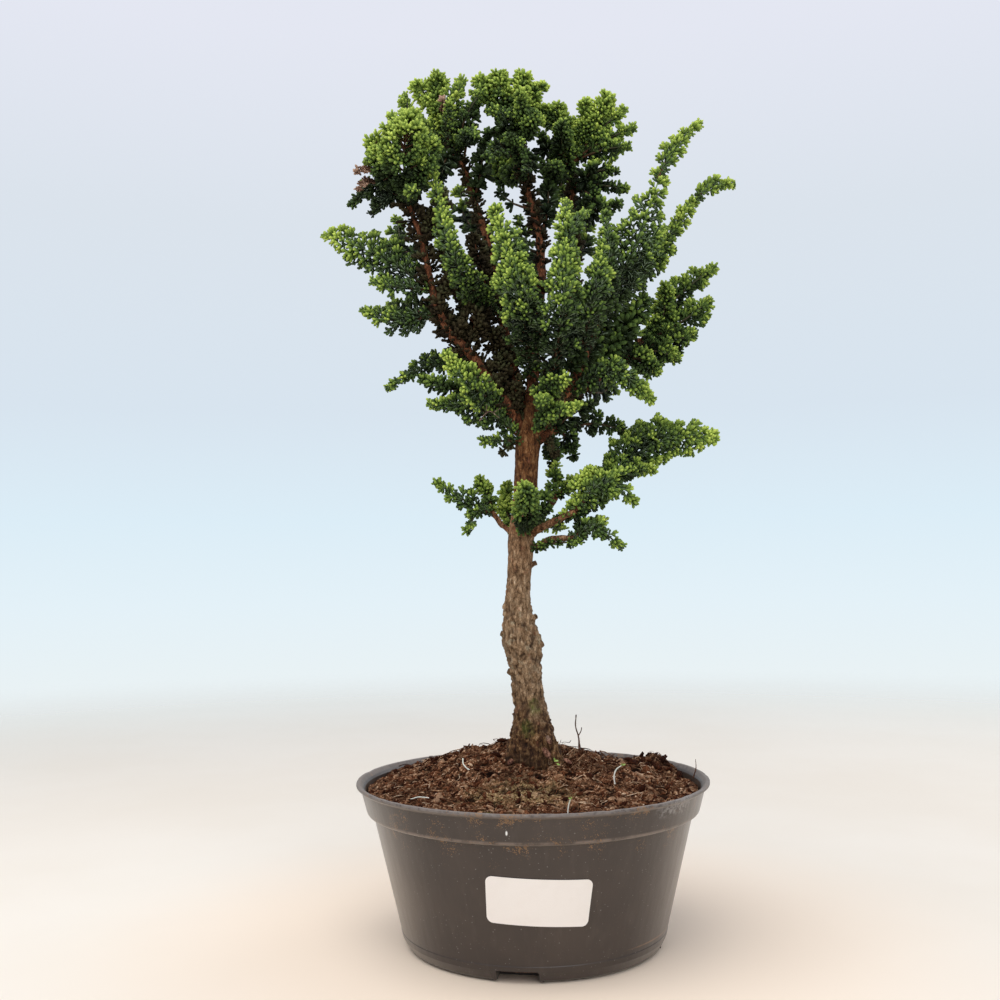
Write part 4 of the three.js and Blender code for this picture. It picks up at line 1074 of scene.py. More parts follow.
def floor_material():
    """Pale ground with warm bounce light from the bowl painted round it, that fades out towards its edge."""
    material, graph, shader = new_material("pale_floor")
    place = graph.place()
    tint = graph.mottle(place, 4.0, 0.3, 0.7)
    away = graph.add("VectorMath", {0: place}, operation="LENGTH").outputs["Value"]
    colour = graph.mix(tint, (0.87, 0.8, 0.7), (0.9, 0.84, 0.75))
    # Painted bounce light: the ground is tinted warm near the bowl.
    painted_bounce = graph.band(away, 0.27, 0.1)
    graph.put(shader["Base Color"], graph.mix(painted_bounce, colour, (0.95, 0.8, 0.65)))
    shader["Roughness"].default_value = 0.7
    graph.put(shader["Alpha"], graph.band(away, 1.6, 0.35))
    return material


# ------------------------------------------------------------------ stage

class BONSAI_OT_stage(bpy.types.Operator):
    """Pale floor, soft lights, pale surroundings and the camera"""
    bl_idname = "bonsai.stage"
    bl_label = "Stage"

    CAMERA_PLACE = (0, -587, 187)
    CAMERA_PITCH, CAMERA_YAW, CAMERA_ROLL = 3.62, -1.46, -0.68
    CAMERA_LENS = 40.46
    SENSOR_WIDTH = 36
    FLOOR_RADIUS = 1.7
    # Lights: place, what each looks at, width and colour, in metres.
    KEY_LIGHT = ((-0.36, -0.4, 1.25), (0, 0, 0.25), 1.7, (1, 0.98, 0.95))
    FILL_LIGHT = ((0.5, -1.2, 0.6), (0, 0, 0.25), 1.0, (0.95, 0.98, 1))
    RIM_LIGHT = ((0.9, 0.7, 0.8), (0, 0, 0.3), 0.9, (1, 1, 1))
    RIM_SHARE = 0.8  # power of the rim light, as a share of the fill's
    # Colours of the sky, from below the horizon upwards.
    SKY = [
        (0.37, (0.913, 0.871, 0.815)), (0.41, (0.871, 0.88, 0.839)), (0.45, (0.823, 0.888, 0.905)),
        (0.487, (0.775, 0.88, 0.938)), (0.523, (0.716, 0.847, 0.93)), (0.57, (0.686, 0.776, 0.863)),
        (0.65, (0.708, 0.768, 0.839)), (0.72, (0.775, 0.799, 0.888)),
    ]

    def execute(self, context):
        settings = context.scene.bonsai_stage
        context.scene.view_settings.view_transform = "Standard"
        context.scene.view_settings.look = "None"
        self.camera(context)
        self.floor(context)
        self.light(context, "key", settings.key, *self.KEY_LIGHT)
        self.light(context, "fill", settings.fill, *self.FILL_LIGHT)
        self.light(context, "rim", settings.fill * self.RIM_SHARE, *self.RIM_LIGHT)
        self.surround(context, settings.surround)
        return {"FINISHED"}

    def camera(self, context):
        turns = (self.CAMERA_PITCH, self.CAMERA_YAW, self.CAMERA_ROLL)
        pitch, yaw, roll = (math.radians(turn) for turn in turns)
        ahead = Vector((math.sin(yaw) * math.cos(pitch), math.cos(yaw) * math.cos(pitch), math.sin(pitch)))
        right = ahead.cross(Vector((0, 0, 1))).normalized()
        up = right.cross(ahead)
        across = right * math.cos(roll) + up * math.sin(roll)
        above = up * math.cos(roll) - right * math.sin(roll)
        data = bpy.data.cameras.new("camera")
        data.lens = self.CAMERA_LENS
        data.sensor_width = self.SENSOR_WIDTH
        data.clip_start, data.clip_end = 0.01, 50
        camera = bpy.data.objects.new("camera", data)
        turn = Matrix((across, above, -ahead)).transposed().to_4x4()
        camera.matrix_world = Matrix.Translation(Vector(self.CAMERA_PLACE) * MM) @ turn
        context.scene.collection.objects.link(camera)
        context.scene.camera = camera

    def floor(self, context):
        bm = bmesh.new()
        bmesh.ops.create_circle(bm, cap_ends=True, segments=96, radius=self.FLOOR_RADIUS)
        mesh = bpy.data.meshes.new("floor")
        bm.to_mesh(mesh)
        bm.free()
        mesh.materials.append(floor_material())
        floor = bpy.data.objects.new("floor", mesh)
        context.scene.collection.objects.link(floor)

    def light(self, context, name, power, place, target, size, colour):
        data = bpy.data.lights.new(name, "AREA")
        data.shape, data.size, data.energy, data.color = "DISK", size, power, colour
        light = bpy.data.objects.new(name, data)
        light.location = place
        light.rotation_euler = (Vector(target) - Vector(place)).to_track_quat("-Z", "Y").to_euler()
        context.scene.collection.objects.link(light)

    def surround(self, context, strength):
        """A pale sky that the camera sees at its own brightness, and the tree at the given strength."""
        world = bpy.data.worlds.new("surround")
        world.use_nodes = True
        graph = Graph(world.node_tree)
        height = graph.axis(graph.add("TexCoord").outputs["Generated"], "Z")
        share = graph.maths("ADD", graph.times(height, 0.5), 0.5)
        sky = graph.ramp(share, self.SKY)
        background = world.node_tree.nodes["Background"]
        graph.put(background.inputs["Color"], sky)
        seen = graph.add("LightPath").outputs["Is Camera Ray"]
        graph.put(background.inputs["Strength"], graph.maths("MAXIMUM", seen, strength))
        context.scene.world = world


# ------------------------------------------------------------------ bowl

def rounded(profile):
    """Turns (radius, height, corner) entries into points, with each corner rounded by its own radius."""
    points = [Vector(entry[:2]) for entry in profile]
    line = []
    for number, (radius, height, corner) in enumerate(profile):
        if corner == 0:
            line.append((radius, height))
            continue
        before, here, after = points[number - 1:number + 2]
        back, on = (before - here).normalized(), (after - here).normalized()
        cut = corner / math.tan(back.angle(on) / 2)
        start, end = here + back * cut, here + on * cut
        for step in range(5):
            share = step / 4
            line.append(tuple(start.lerp(here, share).lerp(here.lerp(end, share), share)))
    return line


def turned(profile, steps):
    """Spins a line of (radius, height) round the middle of the bowl into a closed shell."""
    bm = bmesh.new()
    corners = [bm.verts.new((radius, 0, height)) for radius, height in profile]
    edges = [bm.edges.new(pair) for pair in zip(corners, corners[1:])]
    bmesh.ops.spin(
        bm, geom=corners + edges, cent=(0, 0, 0), axis=(0, 0, 1), dvec=(0, 0, 0),
        angle=math.tau, steps=steps, use_merge=True)
    bmesh.ops.remove_doubles(bm, verts=bm.verts, dist=1e-4)
    bmesh.ops.recalc_face_normals(bm, faces=bm.faces)
    return bm


def block(size, centre, turn, corner=0.0):
    """A box under the bowl, turned about its axis, with its two upper edges rounded."""
    bm = bmesh.new()
    bmesh.ops.create_cube(bm, size=1.0)
    bmesh.ops.scale(bm, vec=size, verts=bm.verts)
    bmesh.ops.translate(bm, vec=centre, verts=bm.verts)
    if corner:
        top = [
            edge for edge in bm.edges
            if all(v.co.z > centre[2] for v in edge.verts)
            and abs(edge.verts[0].co.x - edge.verts[1].co.x) < 1e-6]
        bmesh.ops.bevel(bm, geom=top, offset=corner, segments=4, profile=0.5, affect="EDGES", material=-1)
    bmesh.ops.rotate(bm, cent=(0, 0, 0), matrix=Matrix.Rotation(math.radians(turn), 3, "Z"), verts=bm.verts)
    return bm


def joined_by(bm, others, operation):
    """Joins, cuts or keeps what is shared with each other bmesh in turn."""
    scene = bpy.context.scene
    base = bpy.data.objects.new("base", as_template(bm, "base"))
    scene.collection.objects.link(base)
    tools = []
    for other in others:
        tool = bpy.data.objects.new("tool", as_template(other, "tool"))
        scene.collection.objects.link(tool)
        tool.hide_render = True
        cut = base.modifiers.new("cut", "BOOLEAN")
        cut.object, cut.operation, cut.solver = tool, operation, "MANIFOLD"
        tools.append(tool)
    bpy.context.view_layer.update()
    made = bpy.data.meshes.new_from_object(base.evaluated_get(bpy.context.evaluated_depsgraph_get()))
    result = bmesh.new()
    result.from_mesh(made)
    for item in [base, *tools]:
        mesh = item.data
        bpy.data.objects.remove(item)
        bpy.data.meshes.remove(mesh)
    bpy.data.meshes.remove(made)
    if not result.faces:
        raise RuntimeError("a cut left nothing of the bowl")
    return result


class BONSAI_OT_bowl(bpy.types.Operator):
    """The moulded nursery bowl, with its stepped collar, flared lip and four notches with drains"""
    bl_idname = "bonsai.bowl"
    bl_label = "Bowl"

    BAND_TOP = 8.2  # the faint band above the foot
    BAND_PROUD = 0.25
    LIP_WEAR = 0.35

    def profile(self):
        """The wall's outside from its foot to the lip, then its inside back down."""
        band = WALL_FOOT[0] + (self.BAND_TOP - WALL_FOOT[1]) * 0.24
        return rounded([
            (0, 0, 0), (FOOT_RADIUS, 0, 1.5), (FOOT_RADIUS + 3.6, 1.2, 1.5), (*WALL_FOOT, 1),
            (band, self.BAND_TOP, 0), (band + 0.1 - self.BAND_PROUD, self.BAND_TOP + 0.35, 0),
            (*WALL_HEAD, 0.5), (COLLAR_RADIUS, WALL_HEAD[1] + 1, 1.6),
            (RIM_RADIUS - 2.3, COLLAR_TOP + 1, 1.3), (RIM_RADIUS, RIM_HEIGHT - 1.3, 0.4),
            (RIM_RADIUS, RIM_HEIGHT, 0.55), (RIM_RADIUS - 1.9, RIM_HEIGHT, 0.7),
            (RIM_RADIUS - 2.5 - WALL, COLLAR_TOP + 0.8, 1.2),
            (COLLAR_RADIUS - WALL + 0.6, WALL_HEAD[1] + 2.2, 1),
            (WALL_HEAD[0] - WALL, WALL_HEAD[1] + 0.5, 1), (WALL_FOOT[0] - WALL - 0.6, WALL_FOOT[1] + 1, 1),
            (FOOT_RADIUS - 1, WALL + 1, 1), (0, WALL + 1, 0)])

    def execute(self, context):
        settings = context.scene.bonsai_bowl
        shell = turned(self.profile(), settings.steps)
        depth = RIM_RADIUS - NOTCH_REACH
        pocket = (NOTCH_WIDTH, depth, 2 * NOTCH_HEIGHT)
        pocket_centre = (0, -NOTCH_REACH - depth / 2, 0)
        drain = (DRAIN_WIDTH, DRAIN_DEPTH, 4 * NOTCH_HEIGHT)
        drain_centre = (0, -NOTCH_REACH - DRAIN_DEPTH / 2 - WALL, 0)
        reach = NOTCH_REACH - WALL
        housing = (NOTCH_WIDTH + 2 * WALL, FOOT_RADIUS + 3 - reach, NOTCH_HEIGHT + WALL - 1)
        housing_centre = (0, -(FOOT_RADIUS + 3 + reach) / 2, 1 + (NOTCH_HEIGHT + WALL - 1) / 2)
        shell = joined_by(shell, [block(housing, housing_centre, turn) for turn in NOTCH_TURNS], "UNION")
        cuts = [block(pocket, pocket_centre, turn, 1.2) for turn in NOTCH_TURNS]
        cuts += [block(drain, drain_centre, turn) for turn in NOTCH_TURNS]
        shell = joined_by(shell, cuts, "DIFFERENCE")
        self.wear(shell)
        bowl = finished(shell, "moulded_bowl", "bowl", [plastic_material(settings)], ["bowl"], crease=32)
        return {"FINISHED"} if bowl else {"CANCELLED"}

    def wear(self, shell):
        """Wears the lip, inwards and downwards only."""
        for corner in shell.verts:
            if corner.co.z < COLLAR_TOP + 1:
                continue
            nick = self.LIP_WEAR * max(0.0, wave(corner.co, 9) + 0.35 * wave(corner.co, 2.5))
            share = rise(corner.co.z, COLLAR_TOP + 1, RIM_HEIGHT)
            radius = math.hypot(corner.co.x, corner.co.y)
            corner.co.x -= corner.co.x / radius * nick * share
            corner.co.y -= corner.co.y / radius * nick * share
            corner.co.z -= 1.3 * nick * share


class BONSAI_OT_label(bpy.types.Operator):
    """The blank paper label on the front of the bowl"""
    bl_idname = "bonsai.label"
    bl_label = "Label"

    COLUMNS, ROWS = 40, 12
    PLAIN = 0.6  # share of the columns that lie between the round corners
    CLEARANCE = 0.04
    CURL = 0.25  # how far its lower right corner stands off the wall

    def execute(self, context):
        settings = context.scene.bonsai_label
        bm = bmesh.new()
        bmesh.ops.create_grid(bm, x_segments=self.COLUMNS, y_segments=self.ROWS, size=1.0)
        straight = LABEL_WIDTH / 2 - LABEL_CORNER
        for corner in bm.verts:
            share = abs(corner.co.x)
            past = LABEL_CORNER * math.sin(math.pi / 2 * max(0.0, share - self.PLAIN) / (1 - self.PLAIN))
            x = math.copysign(straight * min(share / self.PLAIN, 1) + past, corner.co.x)
            drop = LABEL_CORNER - math.sqrt(max(0.0, LABEL_CORNER ** 2 - past ** 2))
            corner.co = (x, corner.co.y * (LABEL_HEIGHT / 2 - drop), 0)
        whole = bmesh.ops.extrude_face_region(bm, geom=bm.faces[:])
        top = [item for item in whole["geom"] if isinstance(item, bmesh.types.BMVert)]
        bmesh.ops.translate(bm, vec=(0, 0, settings.thickness / MM), verts=top)
        tilt = math.radians(LABEL_TILT)
        for corner in bm.verts:
            x, y, out = corner.co
            height = LABEL_MIDDLE + x * math.sin(tilt) + y * math.cos(tilt)
            share = (height - WALL_FOOT[1]) / (WALL_HEAD[1] - WALL_FOOT[1])
            curl = self.CURL * rise(x - y, 28, 36)
            radius = lerp(WALL_FOOT[0], WALL_HEAD[0], share) + self.CLEARANCE + out + curl
            round_by = math.radians(LABEL_TURN)
            round_by += (x * math.cos(tilt) - y * math.sin(tilt)) / lerp(WALL_FOOT[0], WALL_HEAD[0], 0.6)
            corner.co = (radius * math.sin(round_by), -radius * math.cos(round_by), height)
        bmesh.ops.recalc_face_normals(bm, faces=bm.faces)
        finished(bm, "paper_label", "label", [paper_material(settings)], ["label"], crease=40)
        return {"FINISHED"}


# ------------------------------------------------------------------ peat

def soil_height(x, y):
    """The peat's height as its solid has it."""
    heaps = sum(
        height * math.exp(-((x - middle[0]) / spread[0]) ** 2 - ((y - middle[1]) / spread[1]) ** 2)
        for height, middle, spread in SOIL_HEAPS)
    front = -SOIL_FRONT_RISE * y / SOIL_EDGE_RADIUS
    lumps = 0.8 * math.sin(x / 6.1 + 1.3) * math.cos(y / 5.3) + 0.6 * math.sin((x + y) / 3.7)
    return SOIL_EDGE_HEIGHT + heaps + front + lumps


def crumble(x, y):
    """How far the crumbly surface stands over the smooth one, in millimetres."""
    bent = Vector((x, y, 0)) + 2.2 * noise.noise_vector(Vector((x, y, 7)) / 4)
    coarse = wave((x, y, 0), 10, 2)
    middle = noise.ridged_multi_fractal(bent / 4.6, 1.0, 2.1, 3, 1.0, 1.6)
    near, far = noise.voronoi(bent / 6.5)[0][:2]
    clods = min(far - near, 0.4)
    fine = wave((x, y, 9), 1.7, 2)
    return 2.0 * coarse + 1.4 * (middle - 1.1) + 3.0 * (clods - 0.22) + 0.8 * fine


def crumb_template(rng):
    bm = bmesh.new()
    bmesh.ops.create_icosphere(bm, subdivisions=1, radius=1.0)
    tone = bm.verts.layers.float.new("tone")
    for corner in bm.verts:
        corner.co *= rng.uniform(0.65, 1.2)
        corner[tone] = 0.5
    return as_template(bm, "crumb")


def fibre_template(rng):
    """A thin bent strand, 1 long, that lies in XY."""
    bm = bmesh.new()
    tone = bm.verts.layers.float.new("tone")
    bend, twist, hump = rng.uniform(-0.6, 0.6), rng.uniform(-0.4, 0.4), rng.uniform(0.02, 0.2)

    def place(turn, along):
        middle = Vector((
            along - 0.5, bend * math.sin(math.pi * along) + twist * math.sin(math.tau * along),
            hump * math.sin(math.pi * along)))
        girth = 0.04 * (1 - 0.6 * along)
        return middle + girth * Vector((0, math.cos(math.tau * turn), math.sin(math.tau * turn)))

    tube(bm, 3, 4, place)
    for corner in bm.verts:
        corner[tone] = 0.5
    bmesh.ops.recalc_face_normals(bm, faces=bm.faces)
    return as_template(bm, "fibre")


class BONSAI_OT_peat(bpy.types.Operator):
    """The peat in the bowl, with the crumbs and fibres that lie on it"""
    bl_idname = "bonsai.peat"
    bl_label = "Peat"

    def execute(self, context):
        settings = context.scene.bonsai_peat
        self.body(settings)
        litter = litter_material()
        rng = random.Random(settings.seed)
        self.crumbs(settings, rng, litter)
        self.fibres(settings, rng, litter)
        return {"FINISHED"}

    def body(self, settings):
        bm = bmesh.new()
        painted_relief_shading = bm.verts.layers.float.new("painted_relief_shading")
        cells = round(2 * SOIL_EDGE_RADIUS * MM / settings.cell)
        bmesh.ops.create_grid(bm, x_segments=cells, y_segments=cells, size=SOIL_EDGE_RADIUS)
        outside = [v for v in bm.verts if math.hypot(v.co.x, v.co.y) > SOIL_EDGE_RADIUS - 0.35]
        bmesh.ops.delete(bm, geom=outside, context="VERTS")
        for corner in bm.verts:
            x, y = corner.co.x, corner.co.y
            if corner.is_boundary:
                stretch = SOIL_EDGE_RADIUS / math.hypot(x, y)
                x, y = x * stretch, y * stretch
            crumbs = crumble(x, y) * rise(SOIL_EDGE_RADIUS - math.hypot(x, y), -2, 4)
            corner.co = (x, y, soil_height(x, y) + crumbs)
            # Painted shade: this value makes the peat dark in its hollows and pale on its crests.
            corner[painted_relief_shading] = min(max(0.45 - crumbs * 0.3, 0), 1)
        rim = [edge for edge in bm.edges if edge.is_boundary]
        for radius, height in SOIL_SIDE:
            ring = bmesh.ops.extrude_edge_only(bm, edges=rim)["geom"]
            rim = [item for item in ring if isinstance(item, bmesh.types.BMEdge)]
            for corner in (item for item in ring if isinstance(item, bmesh.types.BMVert)):
                stretch = radius / math.hypot(corner.co.x, corner.co.y)
                corner.co = (corner.co.x * stretch, corner.co.y * stretch, height)
        bmesh.ops.holes_fill(bm, edges=rim, sides=0)
        bmesh.ops.recalc_face_normals(bm, faces=bm.faces)
        finished(bm, "peat", "soil", [peat_material()], ["soil"])

    TRUNK_CLEARANCE = 10
    ROOTLETS = 110
    ROOTLETS_MIDDLE = (20, -2)
    ROOTLETS_SPREAD = 7

    def spot(self, rng, edge=1.5):
        """A random place on the peat, clear of the trunk."""
        while True:
            radius = (SOIL_EDGE_RADIUS - edge) * math.sqrt(rng.random())
            turn = rng.uniform(0, math.tau)
            if radius > self.TRUNK_CLEARANCE:
                return radius * math.cos(turn), radius * math.sin(turn)

    def crumbs(self, settings, rng, material):
        bm = bmesh.new()
        bm.verts.layers.float.new("tone")
        shapes = [crumb_template(rng) for _ in range(8)]
        for _ in range(settings.crumbs):
            x, y = self.spot(rng)
            size = rng.uniform(0.45, 1.15) + 1.5 * rng.random() ** 5
            clod = math.exp(-((x - CLODS_MIDDLE[0]) ** 2 + (y - CLODS_MIDDLE[1]) ** 2) / 260)
            size *= 1.1 + 0.7 * clod
            reach = SOIL_EDGE_RADIUS - size
            if math.hypot(x, y) > reach:
                x, y = (c * reach / math.hypot(x, y) for c in (x, y))
            height = soil_height(x, y) + crumble(x, y) + size * 0.25
            turn = Matrix.Rotation(rng.uniform(0, math.tau), 4, (rng.random(), rng.random(), 0.3))
            width, thick = size * rng.uniform(0.35, 0.8), size * rng.uniform(0.25, 0.6)
            shape = Matrix.Diagonal((size * 1.3, width, thick, 1))
            matrix = Matrix.Translation((x, y, height)) @ turn @ shape
            dark = rng.random() < 0.82 or size > 1.5
            tone = rng.uniform(0.1, 0.55) if dark else rng.uniform(0.55, 0.95)
            tone *= 1 - 0.5 * clod
            append(bm, rng.choice(shapes), matrix, tone=(0, tone))
        finished(bm, "peat_crumbs", "soil", [material])

    def fibres(self, settings, rng, material):
        bm = bmesh.new()
        bm.verts.layers.float.new("tone")
        shapes = [fibre_template(rng) for _ in range(10)]
        for _ in range(settings.fibres):
            x, y = self.spot(rng, 5)
            length = rng.uniform(2, 6) + 6 * rng.random() ** 6
            if math.hypot(x, y) + length / 2 > SOIL_EDGE_RADIUS:
                length = 2 * (SOIL_EDGE_RADIUS - math.hypot(x, y))
            height = soil_height(x, y) + crumble(x, y) + rng.uniform(0.1, 0.7)
            across_slope = soil_height(x - 1, y) - soil_height(x + 1, y)
            along_slope = soil_height(x, y - 1) - soil_height(x, y + 1)
            slope = Vector((across_slope, along_slope, 2))
            ahead = slope.cross(Vector((rng.uniform(-1, 1), rng.uniform(-1, 1), 0.01)))
            lie = aim(Vector((x, y, height)), slope.normalized(), ahead, length, length, length)
            tone = lerp(0.15, 0.95, rng.random() ** 1.6)
            append(bm, rng.choice(shapes), lie, tone=(0, tone))
        self.rootlets(bm, rng, shapes)
        finished(bm, "peat_fibres", "soil", [material])

    def rootlets(self, bm, rng, shapes):
        """Curled rootlets that stand out of the peat at the right of the trunk's foot."""
        for _ in range(self.ROOTLETS):
            x, y = (rng.gauss(middle, self.ROOTLETS_SPREAD) for middle in self.ROOTLETS_MIDDLE)
            if math.hypot(x, y) < self.TRUNK_CLEARANCE + 1:
                continue
            length = rng.uniform(3.5, 8)
            height = soil_height(x, y) + crumble(x, y) + rng.uniform(-0.5, 1.5)
            ahead = Vector((rng.uniform(-1, 1), rng.uniform(-1, 0.4), rng.uniform(-0.2, 1))).normalized()
            off = ahead.orthogonal()
            middle = Vector((x, y, height)) + ahead * length * 0.3
            lie = aim(middle, off.cross(ahead), off, length, length, length)
            append(bm, rng.choice(shapes), lie, tone=(0, rng.uniform(0.2, 0.8)))


class BONSAI_OT_sprouts(bpy.types.Operator):
    """Pale seedlings and root ends on the peat, dead twigs, and flakes of loose bark"""
    bl_idname = "bonsai.sprouts"
    bl_label = "Sprouts"

    STEM_FACING = Vector((0.2, -1, 0.1))

    def execute(self, context):
        girth = context.scene.bonsai_sprouts.girth
        bm = bmesh.new()
        fresh = bm.verts.layers.float.new("fresh")
        for points, thick, thin, start, end in SPROUTS:
            self.strand(bm, points, thick * girth, thin * girth, fresh, start, end)
        for middle, ahead, length, width in SEED_LEAVES:
            self.blade(bm, middle, ahead, 0.7 * length, 0.7 * width, 0.4, fresh, 1.0)
        finished(bm, "sprouts", "leaf", [seedling_material()])
        bm = bmesh.new()
        crevice = bm.verts.layers.float.new("crevice")
        bm.verts.layers.float.new("limb")
        for points, thick, thin in TWIGS:
            self.strand(bm, points, thick * girth, thin * girth, crevice, 0.3, 0.0)
        for middle, ahead, length, width in FLAKES:
            self.blade(bm, middle, ahead, length, width, 0.35, crevice, 0.0)
        finished(bm, "dead_twigs", "bark", [twig_material()])
        return {"FINISHED"}

    def strand(self, bm, points, thick, thin, layer, start, end):
        spine = Spine(points)

        def place(turn, along):
            middle, heading, across, out = frame_at(spine, along, self.STEM_FACING)
            side = across * math.sin(turn * math.tau) + out * math.cos(turn * math.tau)
            knobs = 1 + 0.35 * wave(middle + side * thick, 1.6, 2)
            return middle + side * lerp(thick, thin, along) * knobs, lerp(start, end, along ** 2)

        tube(bm, 7, max(4, round(spine.length() / 0.7)), place, layer)
        bmesh.ops.recalc_face_normals(bm, faces=bm.faces)

    def blade(self, bm, middle, ahead, length, width, thick, layer, value):
        """A small curled leaf or flake, thin and pointed at both ends."""
        ahead = Vector(ahead).normalized()
        corners = bmesh.ops.create_uvsphere(bm, u_segments=10, v_segments=8, radius=1.0)["verts"]
        matrix = aim(Vector(middle), ahead, Vector((0.2, -0.8, 0.6)), width / 2, thick / 2, length / 2)
        for corner in corners:
            x, y, z = corner.co
            corner[layer] = value
            curl = 0.9 * x * x + 0.5 * z * z
            corner.co = matrix @ Vector((x * (1 + 0.15 * math.sin(7 * z)), y + curl, z + 1))


# ------------------------------------------------------------------ bark

BARK_FACING = Vector((0, -1, 0.15))


class BONSAI_OT_bark(bpy.types.Operator):
    """Trunk, leaders and low branches, with fissured bark and the stubs of old shoots"""
    bl_idname = "bonsai.bark"
    bl_label = "Bark"

    TRUNK_RINGS = 230
    RING_PITCH = 1.5
    LIMB_SIDES = 14

    def execute(self, context):
        settings = context.scene.bonsai_bark
        bm = bmesh.new()
        self.crevice = bm.verts.layers.float.new("crevice")
        self.limb = bm.verts.layers.float.new("limb")
        self.depth = settings.relief / MM
        self.trunk(bm, settings.sides)
        for thick, thin, _, points in LIMBS.values():
            self.branch(bm, points, thick, thin, 1.0)
        for root, tip, radius in KNOBS:
            self.branch(bm, [root, Vector(root).lerp(Vector(tip), 0.6), tip], radius, radius * 0.45, 0.25)
        bmesh.ops.recalc_face_normals(bm, faces=bm.faces)
        finished(bm, "bark", "bark", [bark_material()], ["trunk"])
        return {"FINISHED"}

    def relief(self, point, knobbly):
        """How far the bark stands proud at a point: upright fibres, and knobs where it is old."""
        fibres = noise.fractal(Vector((point.x * 0.75, point.y * 0.75, point.z * 0.28)), 0.9, 2.1, 4)
        knobs = noise.fractal(point * 0.26, 1.0, 2.0, 3)
        flakes = noise.fractal(Vector((point.x * 0.7, point.y * 0.7, point.z * 0.9)), 0.9, 2.0, 3)
        return 0.8 * fibres + knobbly * (1.5 * knobs + 0.8 * flakes)

    def trunk(self, bm, sides):
        spine = Spine([Vector(ring) for ring in TRUNK])

        def place(turn, along):
            middle, heading, across, out = frame_at(spine, along, BARK_FACING)
            angle = turn * math.tau
            height, radius = middle.z, spine.at(along)[3]
            flutes = 0.06 * math.sin(3 * angle + height / 17) + 0.04 * math.sin(2 * angle - height / 11)
            roots = 0.09 * math.cos(5 * angle) * rise(height, 104, 94)
            girth = radius * (1 + flutes + roots)
            side = across * math.sin(angle) + out * math.cos(angle)
            surface = middle + side * girth
            knobbly = rise(height, 195, 160)
            bite = self.relief(surface, knobbly)
            # The second value is painted shade, high where the bark sinks into a fissure.
            return surface + side * bite * self.depth * lerp(0.6, 1.1, knobbly), min(max(-0.7 * bite, 0), 1)

        tube(bm, sides, self.TRUNK_RINGS, place, self.crevice)

    def branch(self, bm, points, thick, thin, youth):
        spine = Spine(points)
        rings = max(4, round(spine.length() / self.RING_PITCH))
        before = set(bm.verts)

        def place(turn, along):
            middle, heading, across, out = frame_at(spine, along, BARK_FACING)
            angle = turn * math.tau
            side = across * math.sin(angle) + out * math.cos(angle)
            girth = lerp(thick, thin, math.sqrt(along))
            surface = middle + side * girth
            bite = self.relief(surface, 0.6)
            # The second value is painted shade, high where the bark sinks into a fissure.
            return surface + side * bite * self.depth * 0.6, min(max(-0.5 * bite, 0), 1)

        tube(bm, self.LIMB_SIDES, rings, place, self.crevice)
        for corner in set(bm.verts) - before:
            corner[self.limb] = youth * rise(corner.co.z, 190, 250)


# ------------------------------------------------------------------ foliage

FINGER_WIDTH = 1.55
FINGER_THICKNESS = 1.35
FINGER_SIDES = 4
TWIG_RADIUS = 0.26
SPRIG_LENGTHS = (4.5, 7, 10, 14)
VARIETIES = 4
ROUND_FROM = 0.65  # fronds rounder than this grow tufts all round
OPEN_BELOW = 0.3  # fronds flatter than this show gaps beside their stem
GOLDEN_TURN = 2.39996
LEAF_VALUES = ("bright", "twig", "ridge")


def leaf_mesh():
    """A bmesh whose corners hold how bright a leaf is, whether it is bare stem, and how near its midline."""
    bm = bmesh.new()
    for name in LEAF_VALUES:
        bm.verts.layers.float.new(name)
    return bm


def add_finger(bm, base, ahead, flat, length, share, rng, girth=1.0, fade=0.7):
    """One blunt tip of overlapping scale leaves. share is how far out in its sprig it stands."""
    bright, ridge = (bm.verts.layers.float[name] for name in ("bright", "ridge"))
    corners = bmesh.ops.create_uvsphere(bm, u_segments=FINGER_SIDES, v_segments=3, radius=1.0)["verts"]
    width = FINGER_WIDTH / 2 * girth * rng.uniform(0.88, 1.15)
    thick = FINGER_THICKNESS / 2 * girth * rng.uniform(0.88, 1.15)
    matrix = aim(base, ahead, flat, width, thick, length)
    for corner in corners:
        x, y, z = corner.co
        pole = abs(z) > 0.9
        up = 0.5 + (0.5 if pole else 0.66) * z
        swell = 0.9 if z < 0 else 1.1
        edge = 0.0 if pole else 0.08 * abs(x)
        # Each finger darkens towards its base: older leaves, and painted shade between the fingers.
        corner[bright] = min(max(share - fade * (1 - up) ** 1.2 - edge, 0), 1)
        corner[ridge] = 0.0 if pole or y < 0.5 else 1.0
        corner.co = matrix @ Vector((x * swell, y * swell, up))


def add_shoot(bm, base, ahead, flat, reach, share, rng, girth):
    """A side shoot: one finger, or one with smaller fingers beside it where it is long."""
    ahead = ahead.normalized()
    add_finger(bm, base, ahead, flat, min(max(reach, 2.2), 4.6), share, rng, girth)
    aside = flat.cross(ahead).normalized()
    for side, up, limit in ((1, 0.32, 3.6), (-1, 0.52, 4.3)):
        if reach > limit:
            add_finger(
                bm, base + ahead * reach * up, ahead + aside * side * 0.8, flat,
                reach * 0.5, share * 0.9, rng, girth)


